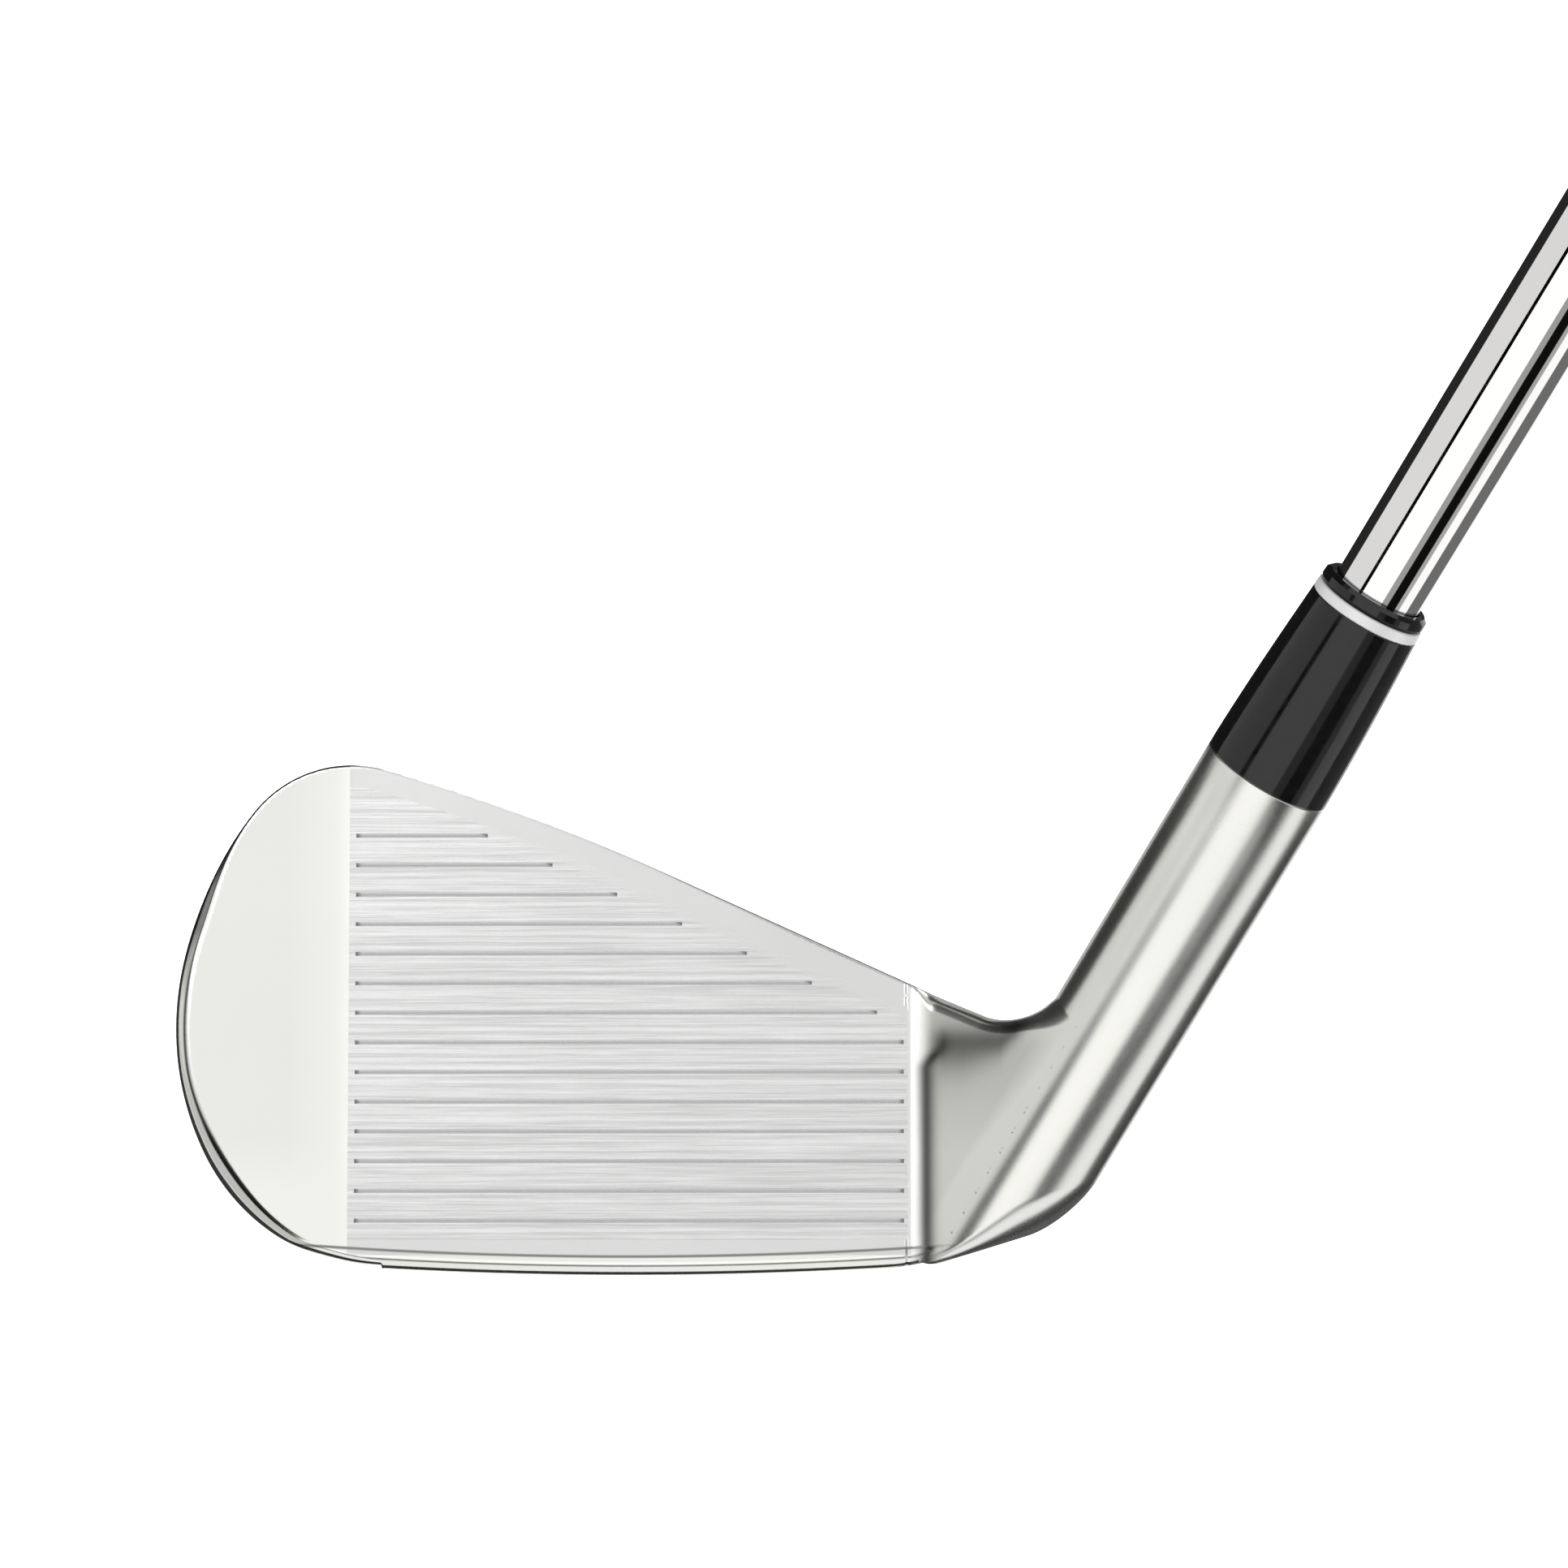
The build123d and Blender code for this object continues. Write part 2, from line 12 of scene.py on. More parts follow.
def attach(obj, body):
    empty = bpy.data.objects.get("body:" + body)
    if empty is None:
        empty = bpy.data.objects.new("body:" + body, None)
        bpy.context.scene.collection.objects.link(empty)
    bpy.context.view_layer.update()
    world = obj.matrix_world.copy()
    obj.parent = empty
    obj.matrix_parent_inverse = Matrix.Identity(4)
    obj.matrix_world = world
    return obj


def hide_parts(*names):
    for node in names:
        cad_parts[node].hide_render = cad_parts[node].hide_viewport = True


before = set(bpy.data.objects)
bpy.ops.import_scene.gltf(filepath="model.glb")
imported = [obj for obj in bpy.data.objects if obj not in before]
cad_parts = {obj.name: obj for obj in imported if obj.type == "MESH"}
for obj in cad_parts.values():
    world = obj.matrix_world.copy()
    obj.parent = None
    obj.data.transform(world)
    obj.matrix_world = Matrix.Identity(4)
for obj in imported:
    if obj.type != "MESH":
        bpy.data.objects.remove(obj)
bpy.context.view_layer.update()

# ---------------------------------------------------------------- dimensions shared with the CAD part
LOFT = radians(24)
LIE = radians(61)
CLUB_LENGTH = 965.0

SOLE_RADIUS = 30.0
SOLE_FRONT_ANGLE = radians(20)
EDGE_RADIUS = 2.0
CAMBER_RADIUS = 440.0

TOP_LINE_SLOPE = radians(24.5)
TOP_LINE_V = 41.55
TOP_LINE_THICK = 6.2
TOE_START_U = 4.76
TOE_ARCS = ((231.0, 8.1), (13.1, 68.5), (39.8, 25.1), (31.3, 37.1), (21.1, 65.7))
MUSCLE_TOP_V = 22.0
MUSCLE_SHOULDER = (6.3, 12.0)
MUSCLE_NORMAL = np.array([0.97, 0.243])

PLATE_HALF_LENGTH = 29.6
PLATE_TOP_MARGIN = 2.4
PLATE_LOW_V = 1.2
LINE_HALF_LENGTH = 28.9
LINE_TOP_GAP = 10.1
CAVITY_FLOOR = 3.8
CAVITY_LOW_V = 15.0
CAVITY_MARGIN = 5.0
CAVITY_TOE_U = -40.5
CAVITY_HEEL_U = 27.5
UNDERCUT_TOE_U = -27.0
UNDERCUT_HEEL_U = 20.0
UNDERCUT_LOW_V = 7.5
UNDERCUT_DEEP = 9.0
LEDGE = 1.6

HOSEL_RADIUS = 6.8
HOSEL_OFFSET = 2.6
HOSEL_TOP = 64.5
AXIS_X = 34.9
CROTCH_RADIUS = 5.5
CROTCH_TOP_V = 26.6
HEEL_BEND_U = 31.7
HEEL_SLOPE = radians(17)

WEIGHT_RADIUS = 3.6
WEIGHT_X = -33.0
WEIGHT_Z = 8.2

FERRULE_SLEEVE = 19.6
FERRULE_RING = 1.2
FERRULE_COLLAR = 1.5
FERRULE_TOP_RADIUS = 5.8
FERRULE_TOP = HOSEL_TOP + FERRULE_SLEEVE + FERRULE_RING + FERRULE_COLLAR

SHAFT_TIP = 33.0
SHAFT_BUTT = 960.0
SHAFT_TIP_RADIUS = 4.51
SHAFT_RADIUS = 4.70
BUTT_RADIUS = 7.62
TAPER_LENGTH = 75.0
FIRST_STEP = 267
STEP_COUNT = 13
STEP_PITCH = 38.1
STEP_RAMP = 1.2
STEP_RISE = (BUTT_RADIUS - SHAFT_RADIUS) / STEP_COUNT
STEPS = [SHAFT_TIP + FIRST_STEP + i * STEP_PITCH for i in range(STEP_COUNT)]

GRIP_MOUTH = 698.0
GRIP_MOUTH_RADIUS = 8.9
GRIP_BUTT_RADIUS = 13.0
GRIP_TAPE = 0.15
CAP_RADIUS = 13.5
CAP_SKIRT = 8.0
VENT_RADIUS = 1.6
LABEL_START = 646.0
LABEL_LENGTH = 30.0
LABEL_THICK = 0.08

# ---------------------------------------------------------------- dimensions of the looks alone
# the casting lies a hair behind the plate's face and is hollow under it, and the top of its hosel is turned
FACE_SET_BACK = 0.03
UNDER_PLATE = 1.5
END_RELIEF = 0.5
RAMP_RADIUS = 5.5
CAVITY_CORNER = 2.5
HOSEL_FOOT = 1.0
HOSEL_SPLIT = 50.0
HOSEL_OVERLAP = 2.0
SEAM_GAP = 0.005

# the turned pieces
TUBE_BORE = 4.8
TUBE_WALL = 0.45
LABEL_BORE = 6.8
GRIP_LIP = 1.2
GRIP_BORE_MOST = 8.3
GRIP_PATTERN_DEPTH = 0.32
GRIP_BAND_PITCH = 29.6
GRIP_RIB_PITCH = 2.2
GRIP_RIBS_ROUND = 18
CAP_EDGE = 2.6

# the grid on which the head's surface is found
HEAD_LOW = (-50.0, -17.0, -1.0)
HEAD_HIGH = (70.0, 17.0, 58.0)
FINE_CELL = 0.25
BLOCK = 8
BLOCKS_AT_ONCE = 250

# the studio, with the camera's place and aim in the face frame
FLOOR_SIZE = 9000
CAMERA_LENS = 131.0
CAMERA_DISTANCE = 600.0
EYE_UV = (27.79, -5.18)
AIM_UV = (16.30, 49.19)
WARM = (1.0, 0.985, 0.965)
BLACK = (0.0, 0.0, 0.0)

# ---------------------------------------------------------------- working frames
edge_start = np.array([-SOLE_RADIUS * sin(SOLE_FRONT_ANGLE), SOLE_RADIUS * (1 - cos(SOLE_FRONT_ANGLE))])
edge_centre = edge_start + EDGE_RADIUS * np.array([sin(SOLE_FRONT_ANGLE), cos(SOLE_FRONT_ANGLE)])
face_low = edge_centre + EDGE_RADIUS * np.array([-cos(LOFT), sin(LOFT)])
FACE_W = -face_low[0] * cos(LOFT) + face_low[1] * sin(LOFT)
AXIS_Y = edge_centre[0] - EDGE_RADIUS - HOSEL_OFFSET + HOSEL_RADIUS

FACE_NORMAL = np.array([0, -cos(LOFT), sin(LOFT)])
FACE_UP = np.array([0, sin(LOFT), cos(LOFT)])
FACE_ORIGIN = FACE_W * FACE_NORMAL
AXIS = np.array([cos(LIE), 0, sin(LIE)])
AXIS_FOOT = np.array([AXIS_X, AXIS_Y, 0])
AXIS_SIDE = np.array([sin(LIE), 0, -cos(LIE)])
AXIS_BACK = np.array([0, 1.0, 0])


def to_face(points):
    """World millimetres to the face frame: u along the face, v up it, w out of it."""
    q = points - FACE_ORIGIN
    return np.stack([q[:, 0], q @ FACE_UP, q @ FACE_NORMAL], axis=1)


def from_face(u, v, w):
    """A face-frame point as world millimetres."""
    return FACE_ORIGIN + np.array([u, 0, 0]) + v * FACE_UP + w * FACE_NORMAL


axis_foot_face = to_face(AXIS_FOOT[None])[0]
axis_face = np.array([AXIS[0], AXIS @ FACE_UP, AXIS @ FACE_NORMAL])
on_face = axis_face[:2] / np.hypot(*axis_face[:2])
ramp_normal = np.array([-axis_face[2], 0, axis_face[0]])
ramp_normal /= np.linalg.norm(ramp_normal)
beside_ramp = np.cross(axis_face, ramp_normal)
WEIGHT_OUT = np.array([0, *MUSCLE_NORMAL])
weight_lean = (MUSCLE_SHOULDER[1] - WEIGHT_Z) * MUSCLE_NORMAL[1] / MUSCLE_NORMAL[0]
WEIGHT_AT = np.array([WEIGHT_X, MUSCLE_SHOULDER[0] + weight_lean, WEIGHT_Z])


# ---------------------------------------------------------------- signed distances of the head
def round_max(a, b, radius):
    """Both at once, with the edge between them rounded off."""
    radius = np.maximum(radius, 1e-6)
    inner = np.hypot(np.maximum(a + radius, 0), np.maximum(b + radius, 0))
    return np.minimum(np.maximum(a, b), -radius) + inner


def round_min(a, b, radius):
    """Either of two, with the corner between them filled in."""
    return -round_max(-a, -b, radius)


def smooth(x, low, high):
    """0 below low, 1 above high, easing between."""
    t = np.clip((x - low) / (high - low), 0, 1)
    return t * t * (3 - 2 * t)


def toe_arcs():
    """The outline's tangent arcs as (centre, radius, start angle, end angle)."""
    normal = pi / 2 - TOP_LINE_SLOPE
    point = np.array([TOE_START_U, TOP_LINE_V - tan(TOP_LINE_SLOPE) * TOE_START_U])
    arcs = []
    for radius, turn in TOE_ARCS:
        centre = point - radius * np.array([cos(normal), sin(normal)])
        end = normal + radians(turn)
        arcs.append((centre, radius, normal, end))
        normal = end
        point = centre + radius * np.array([cos(normal), sin(normal)])
    return arcs


def outline_distance(u, v):
    """Signed distance to the head's outline on the toe side, without the hosel."""
    best = (v - TOP_LINE_V + tan(TOP_LINE_SLOPE) * u) * cos(TOP_LINE_SLOPE)
    arcs = toe_arcs()
    for centre, radius, start, end in arcs:
        du = u - centre[0]
        dv = v - centre[1]
        turned_by = (np.arctan2(dv, du) - start) % (2 * pi)
        start_plane = du * cos(start) + dv * sin(start) - radius
        end_plane = du * cos(end) + dv * sin(end) - radius
        if end == arcs[-1][3]:
            end_plane = start_plane
        beyond = np.maximum(start_plane, end_plane)
        arc = np.where(turned_by <= end - start, np.hypot(du, dv) - radius, beyond)
        best = np.maximum(best, arc)
    return best


def hosel_strip(u, v, side):
    """Distance outside one of the hosel's two edges, seen square to the face."""
    du = u - axis_foot_face[0]
    dv = v - axis_foot_face[1]
    return side * (du * on_face[1] - dv * on_face[0]) - HOSEL_RADIUS


def leading_edge_v(u):
    """Lowest height of the leading edge at u."""
    centre_v = edge_centre[0] * sin(LOFT) + edge_centre[1] * cos(LOFT)
    return centre_v - EDGE_RADIUS + u * u / (2 * CAMBER_RADIUS) * cos(LOFT)


def heel_distance(u, v):
    """Signed distance below the heel's straight underside."""
    bend_v = leading_edge_v(HEEL_BEND_U)
    return -((v - bend_v) - tan(HEEL_SLOPE) * (u - HEEL_BEND_U)) * cos(HEEL_SLOPE)


def rear_distance(y, z):
    """Signed distance behind the back of the blade and its muscle, in the camber's turned section."""
    back = y * cos(LOFT) - z * sin(LOFT) + FACE_W - TOP_LINE_THICK
    corner_w = FACE_W - TOP_LINE_THICK
    corner_y = MUSCLE_TOP_V * sin(LOFT) - corner_w * cos(LOFT)
    corner = np.array([corner_y, MUSCLE_TOP_V * cos(LOFT) + corner_w * sin(LOFT)])
    run = np.array(MUSCLE_SHOULDER) - corner
    run /= np.linalg.norm(run)
    shoulder = -(y - corner[0]) * run[1] + (z - corner[1]) * run[0]
    muscle = (y - MUSCLE_SHOULDER[0]) * MUSCLE_NORMAL[0] + (z - MUSCLE_SHOULDER[1]) * MUSCLE_NORMAL[1]
    return round_min(back, np.maximum(shoulder, muscle), 2.0)


def rim_radius(u, v):
    """How far the face's rim is rounded over: crisp on the top line, softer round the toe and crotch."""
    toe = 1.35 * smooth(-u, 32, 44) * smooth(46 - v, 0, 12)
    low_toe = 1.0 * smooth(20 - v, 0, 14) * smooth(-u, 22, 34)
    crotch = 1.6 * smooth(u, 29.9, 32) + 1.8 * smooth(u, 41, 47)
    return 0.35 + toe + low_toe + crotch


def heel_curve(x):
    """Furthest back that the head reaches at x, curving in to the hosel past the muscle."""
    knots = np.array([0.0, 22, 28, 34, 38.5, 43, 51, 60, 90])
    depths = np.array([24.0, 11, 9.6, 7.4, 4.6, 1.6, -0.7, -1.2, -1.2])
    slopes = np.gradient(depths, knots)
    slopes[1] = -0.1
    i = np.clip(np.searchsorted(knots, x) - 1, 0, len(knots) - 2)
    h = knots[i + 1] - knots[i]
    t = np.clip((x - knots[i]) / h, 0, 1)
    start = (1 + 2 * t) * (1 - t) ** 2 * depths[i] + t * (1 - t) ** 2 * h * slopes[i]
    return start + t * t * (3 - 2 * t) * depths[i + 1] + t * t * (t - 1) * h * slopes[i + 1]


def hollow_corner(u, w, face, slope):
    """Face and ramp together, with the hollow arc where the ramp leaves the face."""
    foot = (HOSEL_RADIUS + RAMP_RADIUS - (RAMP_RADIUS - axis_foot_face[2]) * ramp_normal[2]) / ramp_normal[0]
    across = u - (axis_foot_face[0] + foot)
    out = w - RAMP_RADIUS
    in_hollow = (across >= 0) & (out * -ramp_normal[0] <= -across * ramp_normal[2])
    hollow = RAMP_RADIUS - np.hypot(across, out)
    either = np.minimum(face, slope)
    return np.where(in_hollow & (slope < 8), np.minimum(hollow, either), either)


def plate_distance(u, v):
    """Signed distance to the face plate's outline."""
    plate = np.maximum(outline_distance(u, v) + PLATE_TOP_MARGIN, np.abs(u) - PLATE_HALF_LENGTH)
    return np.maximum(plate, PLATE_LOW_V - v)


def solid_distance(points, q):
    """Signed distance to the blade, its ramp and the hosel, before anything is cut from them."""
    u, v, w = q.T
    x, y, z = points.T
    rel = q - axis_foot_face
    s = rel @ axis_face
    radial = np.sqrt(np.maximum((rel * rel).sum(1) - s * s, 0))
    hosel = np.maximum(radial - HOSEL_RADIUS + SEAM_GAP, HOSEL_FOOT - s)

    # the sheet is the head's outline seen square to the face, with the crotch's round corner
    sheet = round_max(hosel_strip(u, v, -1), v - CROTCH_TOP_V - 1, 2.0)
    sheet = round_min(outline_distance(u, v), sheet, CROTCH_RADIUS)

    # the sole is round from front to back, bent up by the camber and relieved at both ends
    turned_z = CAMBER_RADIUS - np.hypot(x, CAMBER_RADIUS - z)
    above_sole = np.hypot(x, CAMBER_RADIUS - z) - CAMBER_RADIUS
    relief = END_RELIEF * smooth(np.abs(u - 0.3), 28.5, 34.5)
    sole = np.hypot(y, SOLE_RADIUS - turned_z) - SOLE_RADIUS + relief
    sole = sole + (above_sole - sole) * smooth(u, 31, 38)

    # the front is the face and the ramp, hollowed under the plate so that only the plate shows there
    outward = rel @ ramp_normal
    slope = np.maximum(outward - HOSEL_RADIUS, rel @ beside_ramp)
    under_plate = UNDER_PLATE * smooth(-plate_distance(u, v), 0.35, 2.2)
    face = hollow_corner(u, w, w + FACE_SET_BACK + under_plate, slope)
    front = round_max(face, sole, EDGE_RADIUS)

    # the rear is the blade's back and muscle, carried round at the heel into the hosel
    rear = np.maximum(rear_distance(y, turned_z), -w - 30)
    rear = round_max(rear, y - heel_curve(x), 2.0)
    rear = round_max(rear, (x - AXIS_X) * sin(LIE) - z * cos(LIE) - 3, 2.0)

    blade = round_max(front, sheet, rim_radius(u, v))
    blade = np.maximum(blade, round_max(rear, np.maximum(sheet, sole), 1.0))
    blade = np.maximum(blade, hosel_strip(u, v, 1))
    body = round_min(blade, hosel, 4.0 * smooth(-outward, -1, 4))
    body = round_max(body, heel_distance(u, v), 1.2 + 2.4 * smooth(u, 33, 42))
    return np.maximum.reduce([body, above_sole, s - HOSEL_SPLIT - HOSEL_OVERLAP])


def cavity_distance(u, v, w, top):
    """Signed distance to the open back: the badge's cavity and the undercut below it."""
    cavity = np.maximum(top + CAVITY_MARGIN, u - CAVITY_HEEL_U)
    cavity = round_max(cavity, CAVITY_TOE_U - u, CAVITY_CORNER)
    cavity = round_max(cavity, CAVITY_LOW_V - v, CAVITY_CORNER)
    cavity = round_max(cavity, w + CAVITY_FLOOR, 0.5)
    under = round_max(np.maximum(UNDERCUT_TOE_U - u, u - UNDERCUT_HEEL_U), UNDERCUT_LOW_V - v, 1.5)
    under = np.maximum(under, v - CAVITY_LOW_V - 1)
    under = round_max(under, np.maximum(w + CAVITY_FLOOR, -w - UNDERCUT_DEEP), 0.8)
    return np.minimum(cavity, under)


def window_distance(u, v, w, top):
    """Signed distance to the window behind the plate, inside its two ledges."""
    ledges = LEDGE + 1.0
    ends = np.maximum(u - CAVITY_HEEL_U + ledges, LEDGE - PLATE_HALF_LENGTH - u)
    edges = np.maximum(top + CAVITY_MARGIN + ledges, CAVITY_LOW_V + ledges - v)
    return np.maximum.reduce([ends, edges, -w - CAVITY_FLOOR - 0.1])


def weight_hole_distance(points):
    """Signed distance to the toe weight's hole, a hair wider than the weight."""
    rel = points - WEIGHT_AT
    out = rel @ WEIGHT_OUT
    around = np.sqrt(np.maximum((rel * rel).sum(1) - out * out, 0))
    return np.maximum(around - WEIGHT_RADIUS - 0.08, -0.9 - out)


def head_distance(points):
    """Signed distance to the head, cut for the cavity, the toe weight and the window."""
    q = to_face(points)
    u, v, w = q.T
    top = outline_distance(u, v)
    body = round_max(solid_distance(points, q), -cavity_distance(u, v, w, top), 0.5)
    body = round_max(body, -weight_hole_distance(points), 0.4)
    return np.maximum(body, -window_distance(u, v, w, top))


# ---------------------------------------------------------------- surface of a distance function
def lattice(size):
    """Every (i, j, k) of a box of a size, one a row."""
    return np.stack(np.meshgrid(*[np.arange(n) for n in size], indexing="ij"), -1).reshape(-1, 3)


def sample_grid(distance, low, high, cell):
    """The distance at the points of a grid, worked out only in the blocks that the surface may pass."""
    blocks = np.ceil((np.asarray(high) - low) / (cell * BLOCK)).astype(int)
    values = np.full(blocks * BLOCK + 1, 1.0, np.float32)
    block_at = lattice(blocks)
    coarse = distance(low + (block_at + 0.5) * cell * BLOCK)
    reach = cell * BLOCK * 0.5 * 3**0.5 + 1.2
    for i, j, k in block_at[coarse < -reach] * BLOCK:
        values[i : i + BLOCK + 1, j : j + BLOCK + 1, k : k + BLOCK + 1] = -1.0
    near = block_at[np.abs(coarse) <= reach]
    offsets = lattice([BLOCK + 1] * 3)
    for start in range(0, len(near), BLOCKS_AT_ONCE):
        index = near[start : start + BLOCKS_AT_ONCE, None, :] * BLOCK + offsets[None]
        index = index.reshape(-1, 3)
        values[tuple(index.T)] = distance(low + index * cell)
    return values


def crossing_middles(values, cells):
    """For each cell, the middle of the places where the surface crosses its edges, counted in cells."""
    total = np.zeros((len(cells), 3))
    hits = np.zeros(len(cells))
    for axis, p, r in product(range(3), (0, 1), (0, 1)):
        a = np.zeros(3, int)
        a[(axis + 1) % 3] = p
        a[(axis + 2) % 3] = r
        b = a.copy()
        b[axis] = 1
        va = values[tuple((cells + a).T)]
        vb = values[tuple((cells + b).T)]
        crossing = (va < 0) != (vb < 0)
        t = np.where(crossing, va / np.where(crossing, va - vb, 1), 0)
        total += np.where(crossing[:, None], a + t[:, None] * (b - a), 0)
        hits += crossing
    return cells + total / hits[:, None]


def net_quads(inside, number):
    """A quad round each grid edge that the surface crosses, wound to face outwards."""
    quads = []
    for axis in range(3):
        one, two = (axis + 1) % 3, (axis + 2) % 3
        a_in = inside[tuple(slice(None, -1) if d == axis else slice(None) for d in range(3))]
        b_in = inside[tuple(slice(1, None) if d == axis else slice(None) for d in range(3))]
        edges = np.argwhere(a_in != b_in)
        for d in (one, two):
            edges = edges[(edges[:, d] > 0) & (edges[:, d] < inside.shape[d] - 1)]
        ring = []
        for da, db in ((1, 1), (0, 1), (0, 0), (1, 0)):
            c = edges.copy()
            c[:, one] -= da
            c[:, two] -= db
            ring.append(number[tuple(c.T)])
        ring = np.stack(ring, 1)
        flip = ~a_in[tuple(edges.T)]
        ring[flip] = ring[flip][:, ::-1]
        quads.append(ring)
    return np.concatenate(quads)


def surface_net(distance, low, high, cell):
    """Points, outward normals and quads of a distance function's zero surface, on a grid of cells."""
    low = np.asarray(low, float)
    values = sample_grid(distance, low, high, cell)
    inside = values < 0
    both_ends = [(slice(None, -1), slice(1, None))] * 3
    count = np.add.reduce([inside[corner].astype(np.int8) for corner in product(*both_ends)])
    active = (count > 0) & (count < 8)
    cells = np.argwhere(active)
    number = np.full(active.shape, -1, np.int32)
    number[active] = np.arange(len(cells))
    points = low + crossing_middles(values, cells) * cell
    for _ in range(3):
        off = np.clip(distance(points), -cell, cell)
        points = points - off[:, None] * gradient(distance, points)
    return points, gradient(distance, points), net_quads(inside, number)


def gradient(distance, points, h=0.02):
    """Unit gradient of a distance function."""
    parts = []
    for axis in range(3):
        step = np.zeros(3)
        step[axis] = h
        parts.append(distance(points + step) - distance(points - step))
    g = np.stack(parts, 1)
    return g / np.maximum(np.linalg.norm(g, axis=1), 1e-9)[:, None]


# ---------------------------------------------------------------- meshes
def make_piece(name, points, faces, normals=None, material=None):
    """A mesh object from points in millimetres, riding on the club's one body."""
    mesh = bpy.data.meshes.new(name)
    points = np.asarray(points) / 1000
    faces = np.asarray(faces)
    mesh.vertices.add(len(points))
    mesh.vertices.foreach_set("co", points.ravel())
    sides = faces.shape[1]
    mesh.loops.add(faces.size)
    mesh.loops.foreach_set("vertex_index", faces.ravel())
    mesh.polygons.add(len(faces))
    mesh.polygons.foreach_set("loop_start", np.arange(0, faces.size, sides))
    mesh.polygons.foreach_set("use_smooth", np.ones(len(faces), bool))
    mesh.update()
    mesh.validate()
    if normals is not None and len(mesh.polygons) == len(faces):
        mesh.normals_split_custom_set_from_vertices(np.asarray(normals).tolist())
    piece = bpy.data.objects.new(name, mesh)
    bpy.context.scene.collection.objects.link(piece)
    if material:
        mesh.materials.append(material)
    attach(piece, "root")
    return piece


def turned_piece(name, profile, material, segments=192, relief=None, sharp=32):
    """A piece turned about the shaft's axis from a closed profile of (radius, s), up the outside first."""
    profile = np.array(profile, float)
    angles = np.arange(segments) * 2 * pi / segments
    ring = np.cos(angles)[:, None] * AXIS_SIDE + np.sin(angles)[:, None] * AXIS_BACK
    radius = np.repeat(profile[:, :1], segments, axis=1)
    if relief:
        radius = radius + relief(angles[None, :], profile[:, 1:2], profile[:, :1])
    points = AXIS_FOOT + profile[:, None, 1:2] * AXIS + radius[:, :, None] * ring[None]
    rows = len(profile)
    grid = np.arange(rows * segments).reshape(rows, segments)
    up = np.roll(grid, -1, axis=0)
    quads = np.stack([grid, np.roll(grid, -1, 1), np.roll(up, -1, 1), up], -1).reshape(-1, 4)
    piece = make_piece(name, points.reshape(-1, 3), quads, material=material)
    piece.data.set_sharp_from_angle(angle=radians(sharp))
    return piece


def with_bore(outside, bore):
    """A closed profile from points up the outside and a bore radius at each end."""
    return [*outside, (bore, outside[-1][1]), (bore, outside[0][1])]


def outer_radius(s):
    """Radius of the shaft's outside at s, the tip's taper and the steps included."""
    if s < SHAFT_TIP + TAPER_LENGTH:
        return SHAFT_TIP_RADIUS + (SHAFT_RADIUS - SHAFT_TIP_RADIUS) * (s - SHAFT_TIP) / TAPER_LENGTH
    radius = SHAFT_RADIUS
    for step in STEPS:
        radius += STEP_RISE * min(1, max(0, (s - step) / STEP_RAMP))
    return radius


def ferrule_radius(s):
    """Outside of the ferrule at s, drawn in along a gentle curve."""
    part_way = max(0, (s - HOSEL_TOP) / (FERRULE_TOP - HOSEL_TOP))
    return HOSEL_RADIUS - (HOSEL_RADIUS - FERRULE_TOP_RADIUS) * part_way**1.5


def grip_radius(s):
    """Outside of the grip at s."""
    part_way = (s - GRIP_MOUTH) / (CLUB_LENGTH - GRIP_MOUTH)
    return GRIP_MOUTH_RADIUS + (GRIP_BUTT_RADIUS - GRIP_MOUTH_RADIUS) * part_way



